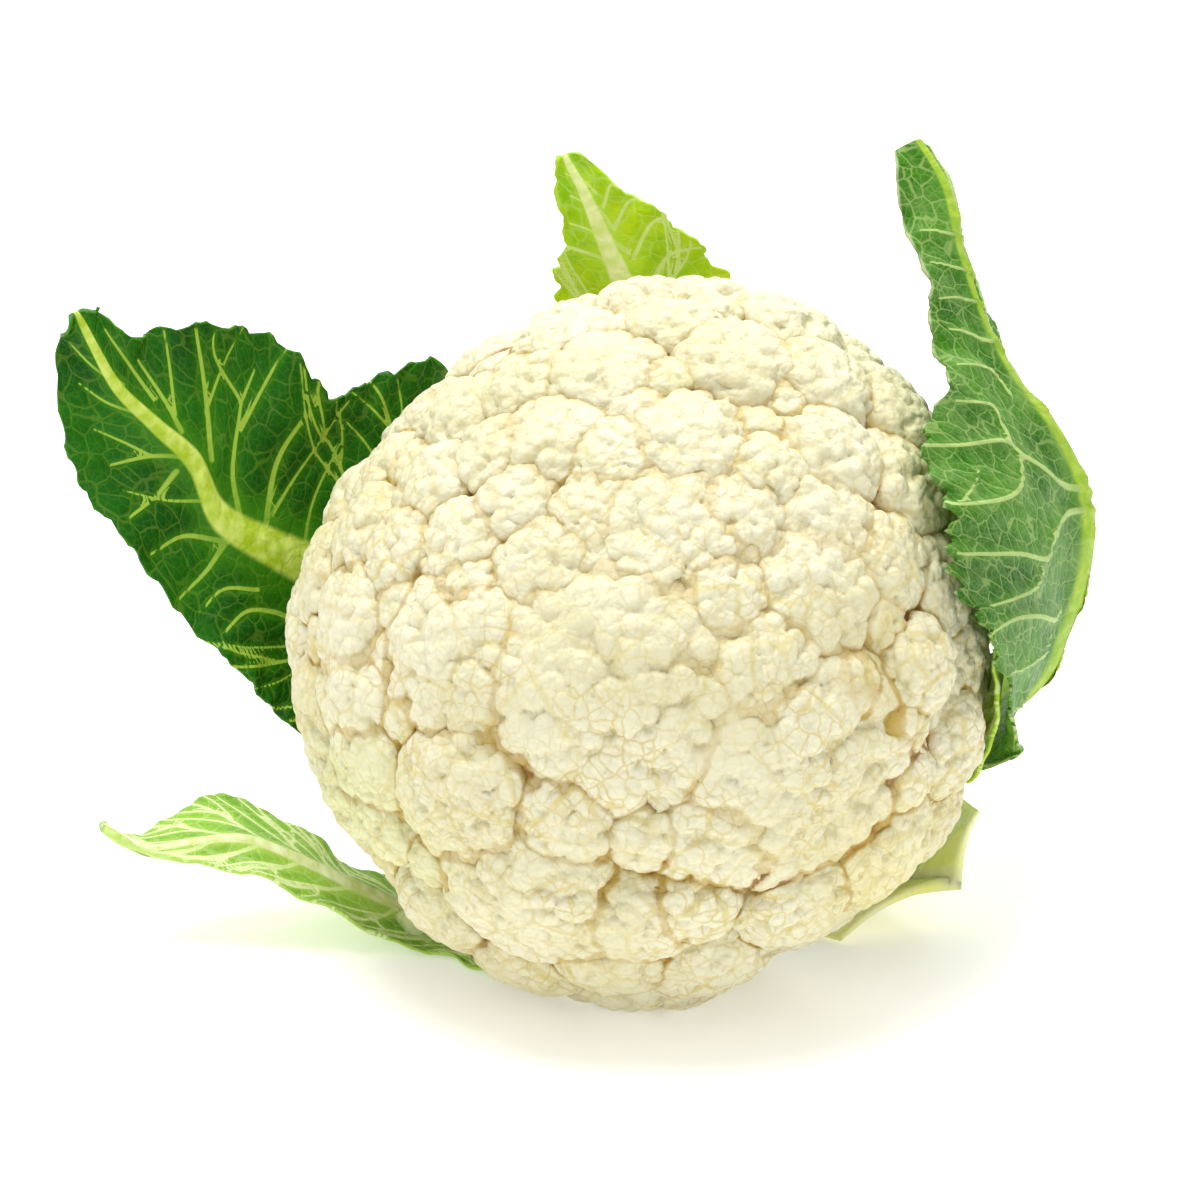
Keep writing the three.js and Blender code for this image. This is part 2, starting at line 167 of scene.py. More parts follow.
def times(tree, a, b):
    return sums(tree, "MULTIPLY", a, b)


def tint(tree, share, low, high, blend="MIX"):
    """One colour laid over another by a share from 0 to 1."""
    node = add_node(tree, "ShaderNodeMix", {0: share, 6: low, 7: high}, data_type="RGBA", blend_type=blend)
    return node.outputs[2]


def fade(tree, value, low, high, to_low=0.0, to_high=1.0):
    node = add_node(tree, "ShaderNodeMapRange", {0: value, 1: low, 2: high, 3: to_low, 4: to_high},
                    interpolation_type="SMOOTHSTEP")
    return node.outputs[0]


def mottle(tree, place, scale, detail=3.0, rough=0.5):
    node = add_node(tree, "ShaderNodeTexNoise", {"Vector": place, "Scale": scale, "Detail": detail,
                                                 "Roughness": rough})
    return node.outputs["Fac"]


def read_points(tree, name):
    return add_node(tree, "ShaderNodeAttribute", attribute_name=name).outputs["Fac"]


def new_finish(name, roughness, **skin):
    """A material with its Principled shader; skin gives the shader's own even values."""
    material = bpy.data.materials.new(name)
    material.use_nodes = True
    tree = material.node_tree
    shader = tree.nodes["Principled BSDF"]
    shader.inputs["Roughness"].default_value = roughness
    for key, value in skin.items():
        shader.inputs[key.replace("_", " ")].default_value = value
    place = add_node(tree, "ShaderNodeTexCoord").outputs["Object"]
    return material, tree, shader, place


def press(tree, shader, height, distance, strength=1.0):
    bump = add_node(tree, "ShaderNodeBump", {"Height": height, "Distance": distance, "Strength": strength})
    tree.links.new(bump.outputs[0], shader.inputs["Normal"])


FORKS_NEAR_STEM, FORKS_OUTSIDE = 11, 22
FORKING_START, FORKING_END = 2.2, 1.8
FORK_DEPTH = 0.035
core = round_ball(5)
out = mesh_places(core)
out /= np.linalg.norm(out, axis=1)[:, None]
bearing = np.arctan2(out @ head_up, out @ across)
tilt = np.arccos(np.clip(out @ crown, -1, 1))
forked = smooth_step(FORKING_START, FORKING_END, tilt)
forks = np.cos(FORKS_NEAR_STEM * bearing) * (1 - forked) + np.cos(FORKS_OUTSIDE * bearing) * forked
side = CORE_RADIUS * (1 + FORK_DEPTH * forks)
end = np.where(out @ crown > 0, CORE_FRONT, CORE_BACK)
reach = 1 / np.hypot(np.sin(tilt) / side, np.cos(tilt) / end)
move_points(core, settle(out * reach[:, None]))
paint_points(core, "ridge", 0.5 + 0.5 * forks)

branch_skin, tree, shader, place = new_finish("branch_skin", 0.55)
ridge = read_points(tree, "ridge")
streaks = mottle(tree, place, 90.0, 4.0, 0.6)
pale = tint(tree, fade(tree, ridge, 0.1, 0.8), (0.42, 0.46, 0.16, 1), (0.71, 0.72, 0.42, 1))
pale = tint(tree, fade(tree, streaks, 0.35, 0.7), pale, (0.78, 0.77, 0.55, 1))
tree.links.new(pale, shader.inputs["Base Color"])
grit = times(tree, mottle(tree, place, 600.0), 0.3)
press(tree, shader, sums(tree, "ADD", streaks, grit), 0.0006)
show("curd_branches", core, branch_skin, "curd")

# Florets of the curd.
# Each floret is a dome of tight unopened buds: lobes on the floret, knobs on the lobes and
# grains on the knobs. It narrows into its own branch towards the stem. The skin is waxy cream.
FLORETS = (
    (298, 36, 27), (324, 66, 27), (336, 46, 14), (306, 64, 15),
    (254, 55, 17), (277, 53, 11.5), (268, 71, 19), (286, 74, 13),
    (236, 33, 19.5), (218, 22, 10), (201, 51, 14), (215, 57, 15), (228, 64, 15),
    (260, 8, 14), (2, 22, 19.5), (44, 8, 11), (347, 33, 11.5), (19, 34, 12),
    (0, 50, 15), (18, 51, 13.5), (12, 63, 12), (355, 73, 11), (348, 93, 12), (337, 106, 12),
    (35, 55, 12), (32, 41, 9), (52, 31, 14), (110, 23, 13), (70, 19, 10),
    (94, 39, 14.5), (118, 39, 11), (66, 53, 14.5), (53, 64, 13), (83, 54, 11),
    (262, 93, 14, 0.5), (278, 106, 18, 2), (292, 94, 14), (248, 86, 13),
    (188, 22, 11), (155, 13, 9.5), (140, 26, 10), (163, 34, 11), (187, 36, 10.5),
    (298, 17, 8.5), (293, 57, 8), (296, 73, 9.5), (323, 33, 10), (236, 70, 10),
)
FILL_TRIES, FILL_LAST_TILT, FILL_RIM_TILT = 700, 121, 72
FILL_SPACING_FRONT, FILL_SPACING_RIM = 0.94, 0.8
FILL_RISE, FILL_SINK = 2.4, 0.65
FILL_RADIUS, FILL_RADIUS_TO_RIM, FILL_RADIUS_SPREAD = 8, 5, 2.5
PROUD_FROM, PROUD_WIDER, PROUD_HIGHER = 13, 0.06, 0.14
LOBE_LAST_COSINE = -0.25
CAP_ANGLE, CAP_SHARE = math.radians(66), 0.84
SHOULDER_ANGLE, SHOULDER_SHARE = math.radians(112), 0.95
BIG_FLORET, SMALL_FLORET = 17.1, 8.2
GAP_TRIES, GAP_RADIUS, GAP_RADIUS_SPREAD = 1500, 6.5, 1.5
GAP_SPACING, GAP_DEPTH, GAP_TURN = 0.8, 2.2, 1.1
BED_DEPTH = 5.0
LOBE_BLEND, LOBE_DEPTH = 0.9, 0.55
SHOULDER_FULLNESS = 2.5
SPREAD, SPREAD_BIG = 1.15, 1.26
FRONT_LIMIT = cad_box[0][1] * 1000 - HEAD_CENTRE[1] + 0.1
CLOSE_PACKED = 0.866
KNOB_SHARE = 0.76
KNOB_PITCH, KNOB_PITCH_GAIN, GRAIN_PITCH = 2.7, 0.05, 1.9
BRANCH_FOOT, BRANCH_FOOT_OUT = 40.0, 8.0
CROWN_COSINE = 0.80
SIGHT_DROP = math.radians(20)


def scatter(n):
    """A number from 0 to 1 that is fixed for each number."""
    s = np.sin(np.asarray(n, float) * 12.9898 + 4.1414) * 43758.5453
    return s - np.floor(s)


def side_axes(facing):
    """Two directions square to the one that a floret faces, and to each other."""
    east = np.cross((0, 0, 1), facing)
    east /= np.linalg.norm(east)
    return east, np.cross(facing, east)


def grown_seeds(facing, count, last_cosine, seed, turn, wobble=0.5):
    """Directions spread over a dome the way buds grow, each one golden turn on from the last."""
    j = np.arange(count)
    shift = wobble * (scatter(seed + j + 0.37) - 0.5)
    cosine = 1 - ((j + 0.5 + shift) / count) * (1 - last_cosine)
    cosine = np.clip(cosine, -1, 1)
    sine = np.sqrt(1 - cosine * cosine)
    angle = j * GOLDEN_TURN + turn + wobble * (scatter(seed + j + 0.71) - 0.5)
    east, north = side_axes(facing)
    ring = np.cos(angle)[:, None] * east + np.sin(angle)[:, None] * north
    return cosine[:, None] * facing + sine[:, None] * ring


def spiral_spot(i, tries, turn):
    """One of many places spread over the dome by golden turns, as its tilt and its direction."""
    last = math.cos(math.radians(FILL_LAST_TILT))
    tilt = math.acos(1 - ((i + 0.5) / tries) * (1 - last))
    return tilt, from_head(i * GOLDEN_TURN + turn, math.sin(tilt), math.cos(tilt))


def has_room(grown, facing, radius, spacing):
    """Whether a floret fits between those that are already there."""
    others = np.array([other for other, _, _ in grown])
    sizes = np.array([size for _, size, _ in grown])
    apart = np.arccos(np.clip(others @ facing, -1, 1)) * HEAD_RADIUS
    return (apart > spacing * (radius + sizes)).all()


def grow_florets():
    """The large florets where they were seen, then smaller ones in spirals, then the gaps filled."""
    grown = []
    for bearing, tilt, radius, *rise in FLORETS:
        lean = math.radians(tilt)
        facing = from_head(math.radians(bearing), math.sin(lean), math.cos(lean))
        proud = max(0, radius - PROUD_FROM)
        height = (rise[0] if rise else 0.0) + PROUD_HIGHER * proud
        grown.append((facing, radius + PROUD_WIDER * proud, height))
    for i in range(FILL_TRIES):
        tilt, facing = spiral_spot(i, FILL_TRIES, 0.0)
        radius = FILL_RADIUS + FILL_RADIUS_TO_RIM * (tilt / math.radians(90))
        radius += FILL_RADIUS_SPREAD * float(scatter(i))
        spacing = FILL_SPACING_FRONT if tilt < math.radians(FILL_RIM_TILT) else FILL_SPACING_RIM
        if has_room(grown, facing, radius, spacing):
            grown.append((facing, radius, FILL_RISE * (float(scatter(i + 0.6)) - FILL_SINK)))
    for i in range(GAP_TRIES):
        tilt, facing = spiral_spot(i, GAP_TRIES, GAP_TURN)
        radius = GAP_RADIUS + GAP_RADIUS_SPREAD * float(scatter(i + 0.2))
        if has_room(grown, facing, radius, GAP_SPACING):
            grown.append((facing, radius, FILL_RISE * (float(scatter(i + 0.6)) - FILL_SINK) - GAP_DEPTH))
    return grown


class Floret:
    """One floret's ball and its lobes, as seen from the floret's own centre."""

    def __init__(self, index, facing, radius, rise):
        self.index, self.facing, self.radius = index, facing, radius
        self.centre = facing * (float(dome_reach(facing[None])[0]) + rise - radius)
        self.spread = float(np.interp(radius, (13, 20), (SPREAD, SPREAD_BIG)))
        pitch = 4 + 0.45 * radius
        lobe = pitch / 1.35
        self.bed = radius - 0.32 * lobe
        cap = 2 * math.pi * radius * radius * (1 - LOBE_LAST_COSINE)
        count = round(cap / (CLOSE_PACKED * pitch * pitch))
        self.lobes = grown_seeds(facing, count, LOBE_LAST_COSINE, index * 97, index)
        self.sizes = lobe * (0.86 + 0.3 * scatter(index * 97 + np.arange(count)))

    def reach(self, out):
        """How far the lobes reach along directions, the lobe that does, and how far it leads the next."""
        stand = self.radius - self.sizes
        along = (out @ self.lobes.T) * stand
        inside = along * along - stand * stand + self.sizes * self.sizes
        far = np.where(inside > 0, along + np.sqrt(np.maximum(inside, 0)), 0)
        far = np.maximum(far, self.bed)
        ahead = np.maximum(0, out @ self.facing)
        aside = np.sqrt(np.maximum(0, 1 - ahead * ahead)) / self.spread
        shoulder = (ahead ** SHOULDER_FULLNESS + aside ** SHOULDER_FULLNESS) ** (-1 / SHOULDER_FULLNESS)
        best = far.argmax(1)
        rows = np.arange(len(out))
        first = far[rows, best]
        all_lobes = np.exp((far - first[:, None]) / LOBE_BLEND).sum(1)
        buried = (far <= self.bed).sum(1) * np.exp((self.bed - first) / LOBE_BLEND)
        blend = first + LOBE_BLEND * np.log(all_lobes - buried + 1)
        blend = self.radius - LOBE_DEPTH * (self.radius - blend)
        far[rows, best] = 0
        lead = first - np.maximum(far.max(1), self.bed)
        return blend * shoulder, best, lead, first <= self.bed


def knobs(out, seeds, radius, sizes):
    """Height of small balls on a dome, and how near each place is to the crease between two."""
    lift = 2 * radius * radius * (out @ seeds.T - 1) + sizes * sizes
    best = lift.argmax(1)
    rows = np.arange(len(out))
    first = np.sqrt(np.maximum(lift[rows, best], 0))
    lift[rows, best] = -1
    second = np.sqrt(np.maximum(lift.max(1), 0))
    return first, first - second


florets = [Floret(i, *parts) for i, parts in enumerate(grow_florets())]


def floret_points(floret, sphere):
    """Wraps a ball's points round a floret: most over its dome, the rest down its branch."""
    facing = floret.facing
    east, north = side_axes(facing)
    used = (1 - sphere[:, 2]) / 2
    turn = np.arctan2(sphere[:, 1], sphere[:, 0])
    cap_rise, shoulder_rise = 1 - math.cos(CAP_ANGLE), 1 - math.cos(SHOULDER_ANGLE)
    rise = np.interp(used, (0, CAP_SHARE, SHOULDER_SHARE, 1), (0, cap_rise, shoulder_rise, shoulder_rise))
    cosine = 1 - rise
    sine = np.sqrt(np.maximum(0, 1 - cosine * cosine))
    ring = np.cos(turn)[:, None] * east + np.sin(turn)[:, None] * north
    out = cosine[:, None] * facing + sine[:, None] * ring
    reach, best, lead, bare = floret.reach(out)
    surface = out * reach[:, None]
    lobe_centre = floret.lobes[best] * (floret.radius - floret.sizes[best])[:, None]
    lobe_out = surface - lobe_centre
    lobe_out /= np.linalg.norm(lobe_out, axis=1)[:, None]
    lobe_out[bare] = out[bare]
    face = out + lobe_out
    face /= np.linalg.norm(face, axis=1)[:, None]
    area = 2 * math.pi * floret.radius ** 2 * 1.35
    crease = 0.95 * (1 - smooth_step(0.0, 0.6, lead))
    sink = np.zeros(len(out))
    for pitch, width, mark, seed, softness in (
            (KNOB_PITCH + KNOB_PITCH_GAIN * floret.radius, 0.45, 0.3, 3000, 0.62),
            (GRAIN_PITCH, 0.2, 0.2, 7000, 0.3)):
        count = round(area / (CLOSE_PACKED * pitch * pitch))
        seeds = grown_seeds(facing, count, -0.35, seed + floret.index * 131, 2.0 * floret.index, 0.9)
        spread = scatter(seed * 3 + floret.index * 59 + np.arange(count))
        sizes = KNOB_SHARE * pitch * (0.82 + 0.36 * spread)
        high, ahead = knobs(out, seeds, floret.radius, sizes)
        sink += softness * (high - 0.66 * pitch)
        crease = np.maximum(crease, mark * (1 - smooth_step(0, width, ahead)))
    sink = np.minimum(sink - 0.3, 0.3)
    points = floret.centre + surface + face * sink[:, None]
    branch = np.clip((used - SHOULDER_SHARE) / (1 - SHOULDER_SHARE), 0, 1)
    foot = crown * -BRANCH_FOOT + BRANCH_FOOT_OUT * facing
    neck = np.linalg.norm(points - floret.centre, axis=1) * sine
    slim = neck * (1 - branch) ** 0.5 * (1 - 0.62 * smooth_step(0, 0.5, branch))
    spine = floret.centre + (out @ facing * reach)[:, None] * facing
    drawn = spine + (foot - spine) * (branch ** 1.2)[:, None] + ring * slim[:, None]
    points = np.where(branch[:, None] > 0, drawn, points)
    return points, crease


def crevice_at(floret, points):
    """How deep a place lies in the groove between its floret and the ones beside it, 0 to 1."""
    nearest = np.full(len(points), 9.0)
    for other in florets:
        away = np.linalg.norm(other.centre - floret.centre)
        if other is floret or away > (other.radius + floret.radius) * SPREAD_BIG + 4:
            continue
        span = points - other.centre
        length = np.linalg.norm(span, axis=1)
        close = length < other.radius * SPREAD_BIG + 4
        if close.any():
            reach = other.reach(span[close] / length[close][:, None])[0]
            nearest[close] = np.minimum(nearest[close], length[close] - reach)
    depth = dome_reach(points / np.linalg.norm(points, axis=1)[:, None]) - np.linalg.norm(points, axis=1)
    return (1 - smooth_step(0.0, 0.65, nearest)) * (0.5 + 0.5 * smooth_step(2.0, 5.0, depth))


def curd_part(floret):
    """The five sections that the florets are joined in: the middle and four sides."""
    if floret.facing @ crown > CROWN_COSINE:
        return "curd_crown"
    bearing = math.degrees(math.atan2(floret.facing @ head_up, floret.facing @ across)) % 360
    sides = ("curd_upper_right", "curd_upper_left", "curd_lower_left", "curd_lower_right")
    return sides[int(bearing // 90) % 4]


def new_group(name, inputs, outputs):
    """A node group with its named sockets, as they are seen from inside it."""
    group = bpy.data.node_groups.new(name, "ShaderNodeTree")
    for way, sockets in (("INPUT", inputs), ("OUTPUT", outputs)):
        for socket, kind in sockets.items():
            group.interface.new_socket(socket, in_out=way, socket_type="NodeSocket" + kind)
    start = group.nodes.new("NodeGroupInput").outputs
    finish = group.nodes.new("NodeGroupOutput").inputs
    return group, start, finish


def cells(tree, place, scale, feature="F1"):
    """How far each place lies from the middle of its cell, or from the edge of it."""
    node = add_node(tree, "ShaderNodeTexVoronoi", {"Vector": place, "Scale": scale}, feature=feature)
    return node.outputs["Distance"]


def bud_group():
    """Buds: a layer of small rounded buds of one fineness, as the seams between them and a height."""
    group, start, finish = new_group("bud_layer", {"Place": "Vector", "Fineness": "Float", "Sway": "Float"},
                                     {"Seam": "Float", "Height": "Float"})
    place, fine = start["Place"], start["Fineness"]
    wander = add_node(group, "ShaderNodeTexNoise", {"Vector": place, "Scale": fine, "Detail": 1.0})
    sway = add_node(group, "ShaderNodeVectorMath", {0: wander.outputs["Color"], "Scale": start["Sway"]},
                    operation="SCALE")
    swayed = add_node(group, "ShaderNodeVectorMath", {0: place, 1: sway.outputs[0]}, operation="ADD")
    edge = cells(group, swayed.outputs[0], fine, "DISTANCE_TO_EDGE")
    away = cells(group, swayed.outputs[0], fine)
    patch = fade(group, mottle(group, place, 75.0, 2.0), 0.36, 0.6, 0.4, 1.0)
    group.links.new(times(group, fade(group, edge, 0.10, 0.0), patch), finish["Seam"])
    height = sums(group, "MULTIPLY_ADD", times(group, away, away), -1.0, 1.0)
    group.links.new(height, finish["Height"])
    return group


def distance_from(tree, place, centre):
    node = add_node(tree, "ShaderNodeVectorMath", {0: place, 1: centre}, operation="DISTANCE")
    return node.outputs["Value"]


def patch_near(tree, place, centre, size, wander):
    """A soft patch round a place on the object, in metres, with a wandering edge."""
    away = distance_from(tree, place, centre)
    away = sums(tree, "MULTIPLY_ADD", wander, size * 0.8, away)
    return fade(tree, away, size * 1.5, size * 0.5)


def from_sight(right, up, near):
    """Places given by how far they lie right, up and towards the eye, both from the head's centre."""
    ahead = up * math.sin(SIGHT_DROP) - near * math.cos(SIGHT_DROP)
    height = up * math.cos(SIGHT_DROP) + near * math.sin(SIGHT_DROP)
    return np.stack((right, ahead, height), -1)


def on_object(spot):
    """A place from the head's centre in millimetres as one on the object in metres."""
    return tuple((spot + HEAD_CENTRE) * 0.001)


curd_skin, tree, shader, place = new_finish("curd_skin", 0.5, Specular_IOR_Level=0.3)
buds = bud_group()
seams, heights = [], []
for fineness, sway in ((245.0, 0.0026), (470.0, 0.0013)):
    layer = add_node(tree, "ShaderNodeGroup", {}, node_tree=buds)
    layer.inputs["Fineness"].default_value = fineness
    layer.inputs["Sway"].default_value = sway
    tree.links.new(place, layer.inputs["Place"])
    seams.append(layer.outputs["Seam"])
    heights.append(layer.outputs["Height"])
crease, crevice = read_points(tree, "crease"), read_points(tree, "crevice")
broad, fine = mottle(tree, place, 28.0, 3.0), mottle(tree, place, 260.0, 4.0, 0.6)
cream = tint(tree, fade(tree, broad, 0.35, 0.65), (0.70, 0.66, 0.43, 1), (0.76, 0.73, 0.53, 1))
cream = tint(tree, fade(tree, fine, 0.5, 0.78, 0.0, 0.3), cream, (0.72, 0.63, 0.32, 1))
# Yellow-green patches at the lower left and at the right, beside the leaves: partly the curd's own green
# tinge, partly painted reflection of light bounced off the leaves.
green_tinge_and_leaf_bounce = sums(tree, "MAXIMUM",
                patch_near(tree, place, on_object(from_sight(-58, -38, 25)), 0.032, broad),
                patch_near(tree, place, on_object(from_sight(68, 30, 20)), 0.028, broad))
cream = tint(tree, times(tree, green_tinge_and_leaf_bounce, 0.4), cream, (0.60, 0.68, 0.24, 1))
yellow = patch_near(tree, place, on_object(from_sight(50, -52, 30)), 0.026, broad)
cream = tint(tree, times(tree, yellow, 0.35), cream, (0.78, 0.70, 0.26, 1))
upper = add_node(tree, "ShaderNodeSeparateXYZ", {0: place}).outputs["Z"]
# The lines come and go in random patches, and they fade towards the top: a painted highlight where the light
# washes over the crown.
patchy_and_lit_top = times(tree, fade(tree, mottle(tree, place, 60.0, 2.0), 0.36, 0.64, 0.45, 0.9),
            fade(tree, upper, 0.085, 0.145, 1.0, 0.4))
# Tan lines in the seams between buds and along the creases between lobes: partly the curd's own tan, partly
# painted shade in the creases.
for seam, share in zip(seams, (0.7, 0.22)):
    marked = times(tree, times(tree, seam, share), patchy_and_lit_top)
    cream = tint(tree, marked, cream, (0.57, 0.44, 0.11, 1))
line = times(tree, fade(tree, crease, 0.25, 0.9), patchy_and_lit_top)
cream = tint(tree, times(tree, line, 0.6), cream, (0.60, 0.50, 0.16, 1))
shaded = times(tree, fade(tree, crevice, 0.12, 0.85, 0.0, 0.9),
              times(tree, fade(tree, upper, 0.09, 0.15, 1.0, 0.6),
                   fade(tree, mottle(tree, place, 38.0, 1.0), 0.35, 0.6, 0.6, 1.0)))
cream = tint(tree, shaded, cream, (0.46, 0.30, 0.04, 1))
# Dark brown pits deep in the grooves between florets: painted shade in the deepest hollows, with some of the
# curd's own browning.
pit = fade(tree, times(tree, crevice, mottle(tree, place, 55.0, 1.0)), 0.42, 0.58)
cream = tint(tree, times(tree, pit, 0.8), cream, (0.26, 0.11, 0.012, 1))
tree.links.new(cream, shader.inputs["Base Color"])
rough = sums(tree, "MULTIPLY_ADD", fine, 0.3, 0.36)
tree.links.new(rough, shader.inputs["Roughness"])
grain = mottle(tree, place, 900.0, 0.0)
pebbles = sums(tree, "MULTIPLY_ADD", heights[0], 1.8, sums(tree, "MULTIPLY_ADD", grain, 0.8, heights[1]))
press(tree, shader, pebbles, 0.0006, 0.55)

bed = round_ball(6)
out = mesh_places(bed)
out /= np.linalg.norm(out, axis=1)[:, None]
tilt = np.arccos(np.clip(out @ crown, -1, 1))
reach = dome_reach(out) - BED_DEPTH
crease = np.zeros(len(out))
for pitch, width, mark, seed in ((8.5, 0.8, 0.9, 11000), (4.2, 0.4, 0.7, 15000)):
    count = round(4 * math.pi * HEAD_RADIUS ** 2 * 0.75 / (CLOSE_PACKED * pitch * pitch))
    seeds = grown_seeds(crown, count, -0.5, seed, 0.0, 0.9)
    sizes = KNOB_SHARE * pitch * (0.82 + 0.36 * scatter(seed * 3 + np.arange(count)))
    for part_of in np.array_split(np.arange(len(out)), 16):
        high, ahead = knobs(out[part_of], seeds, HEAD_RADIUS, sizes)
        reach[part_of] += high - 0.7 * pitch
        crease[part_of] = np.maximum(crease[part_of], mark * (1 - smooth_step(0, width, ahead)))
hidden = smooth_step(math.radians(104), math.radians(118), tilt)
reach = reach * (1 - hidden) + 44.0 * hidden
move_points(bed, settle(out * reach[:, None]))
# The sunken bed gets tan crease lines and an even light share of the painted groove shade, for lying deep
# between the florets.
paint_points(bed, "crease", crease)
paint_points(bed, "crevice", np.full(len(out), 0.2))
show("curd_bed", bed, curd_skin, "curd")

balls = {level: round_ball(level) for level in (4, 5, 6)}
spheres = {level: mesh_places(mesh) for level, mesh in balls.items()}
shapes = []
for floret in florets:
    level = 6 if floret.radius > BIG_FLORET else 5 if floret.radius > SMALL_FLORET else 4
    points, crease_marks = floret_points(floret, spheres[level])
    back = max(0.0, FRONT_LIMIT - points[:, 1].min())
    points[:, 1] += back
    floret.centre[1] += back
    shapes.append((floret, level, points, crease_marks))
joined, marks = {}, {}
for floret, level, points, crease_marks in shapes:
    groove_marks = crevice_at(floret, points)
    move_points(balls[level], settle(points))
    part = curd_part(floret)
    bm = joined.setdefault(part, bmesh.new())
    bm.from_mesh(balls[level])
    marks.setdefault(part, []).append((crease_marks, groove_marks))
for part, bm in joined.items():
    mesh = bpy.data.meshes.new(part)
    bm.to_mesh(mesh)
    bm.free()
    paint_points(mesh, "crease", np.concatenate([m[0] for m in marks[part]]))
    paint_points(mesh, "crevice", np.concatenate([m[1] for m in marks[part]]))
    show(part, mesh, curd_skin, "curd")

# Leaf on the left.
# A broad inner leaf that stands open, seen on its dark glossy inner face. The blade is thin and
# quilted between forking veins, on a thick pale midrib that springs from the stem.
LEAF_LIFT, RIB_INSIDE, RIB_TAPER, HUG_BACK = 1.4, 0.15, 0.45, 70.5
RUFFLE_PITCH = 11
BOX_LOW, BOX_HIGH = (np.array(corner) * 1000 - HEAD_CENTRE for corner in cad_box)
SIGHT_DISTANCE = 1000.0
EYE_RIGHT, EYE_UP = -9.6, 7.6


def smooth_line(places, share):
    """A smooth curve through places, at shares of the way along it."""
    last = len(places) - 1
    ahead = np.clip(share, 0, 1) * last
    i = np.minimum(ahead.astype(int), last - 1)
    w = (ahead - i)[:, None]
    ends = np.vstack((2 * places[0] - places[1], places, 2 * places[-1] - places[-2]))
    before, here, there, after = ends[i], ends[i + 1], ends[i + 2], ends[i + 3]
    slope, next_slope = (there - before) / 2, (after - here) / 2
    rise = (3 * (there - here) - 2 * slope - next_slope) * w * w
    return here + slope * w + rise + (2 * (here - there) + slope + next_slope) * w ** 3


def blade_places(leaf, u, v):
    """Places on a leaf's middle skin: u runs from the stem to the tip, v from edge to edge."""
    rib = smooth_line(leaf["rib"], u)
    left, right = smooth_line(leaf["left"], u), smooth_line(leaf["right"], u)
    side = np.where((v < 0)[:, None], left, right) - rib
    width = np.linalg.norm(side, axis=1)
    share = np.abs(v)
    behind, beyond = np.maximum(0, u - 1e-4), np.minimum(1, u + 1e-4)
    run = smooth_line(leaf["rib"], beyond) - smooth_line(leaf["rib"], behind)
    face = np.cross(run, side)
    face /= np.linalg.norm(face, axis=1)[:, None] + 1e-12
    face[v > 0] *= -1
    arch = leaf["arch"] * width * share * (1 - share) * 4
    wave = leaf["wave"] * share * share * np.sin(2 * math.pi * leaf["waves"] * u + np.where(v < 0, 2, 0))
    places = rib + side * share[:, None] + face * (wave - arch)[:, None]
    length = np.linalg.norm(places, axis=1)
    hug = leaf["hug"]
    clear = dome_reach(places / length[:, None], hug, HUG_BACK)
    places *= np.maximum(1, clear / length)[:, None]
    places[:, 2] = np.maximum(places[:, 2], LEAF_LIFT - HEAD_CENTRE[2])
    return places


def blade_normal(leaf, u, v):
    ahead = blade_places(leaf, np.minimum(1, u + 1e-3), v) - blade_places(leaf, np.maximum(0, u - 1e-3), v)
    aside = blade_places(leaf, u, v + 1e-3) - blade_places(leaf, u, v - 1e-3)
    normal = np.cross(aside, ahead)
    return normal / np.linalg.norm(normal, axis=1)[:, None]


def side_veins(leaf, first=0.06, last=0.93, count=9, lean=0.16, seed=0):
    """Veins that leave the midrib by turns, lean to the tip, and fork towards the edge."""
    veins = []
    for k in range(count):
        for side in (-1, 1):
            s = seed + 10 * k + side
            start = first + (last - first) * (k + 0.3 * side + 0.3 * scatter(s)) / count
            rise = lean * (0.7 + 0.6 * scatter(s + 0.5)) * (1 - 0.4 * start)
            w = np.linspace(0, 1, 24)
            main = np.stack((start + rise * w ** 0.8 * (1 + 0.5 * w), side * 0.97 * w), 1)
            veins.append((main, 0.75))
            for fork, (at, spread) in enumerate(((0.35, 0.05), (0.55, -0.045), (0.72, 0.03))):
                i = int(at * 23)
                t = np.linspace(0, 1, 14)
                turn = spread * (0.6 + 0.8 * scatter(s + fork * 3.1))
                arm = np.stack((main[i, 0] + (main[-1, 0] - main[i, 0]) * t + turn * t * (2 - t),
                                main[i, 1] + (main[-1, 1] - main[i, 1]) * t), 1)
                veins.append((arm, 0.45))
    kept = [(line[line[:, 0] < 0.995], width) for line, width in veins]
    return [(line, width) for line, width in kept if len(line) > 3]


def seen_veins(leaf, lines):
    """Veins drawn as they are seen, right and up of the head's centre, laid on the leaf's skin."""
    u, v = np.meshgrid(np.linspace(0, 1, 160), np.linspace(-1, 1, 81))
    u, v = u.ravel(), v.ravel()
    places = blade_places(leaf, u, v)
    right = places[:, 0]
    up = places[:, 1] * math.sin(SIGHT_DROP) + places[:, 2] * math.cos(SIGHT_DROP)
    near = places[:, 2] * math.sin(SIGHT_DROP) - places[:, 1] * math.cos(SIGHT_DROP)
    nearer = SIGHT_DISTANCE / (SIGHT_DISTANCE - near)
    look = np.stack(((right - EYE_RIGHT) * nearer + EYE_RIGHT, (up - EYE_UP) * nearer + EYE_UP), 1)
    veins = []
    for width, line in lines:
        line = np.array(line, float)
        step = np.linspace(0, 1, 12 * len(line))
        fine = smooth_line(line, step)
        hits = []
        for spot in fine:
            away = np.hypot(*(look - spot).T)
            closest = away.min()
            front = near[away < closest + 1.5].max()
            weight = np.exp((closest ** 2 - away ** 2) / 1.4) * (near > front - 6)
            hits.append(((u * weight).sum() / weight.sum(), (v * weight).sum() / weight.sum()))
        veins.append((np.array(hits), width))
    return veins


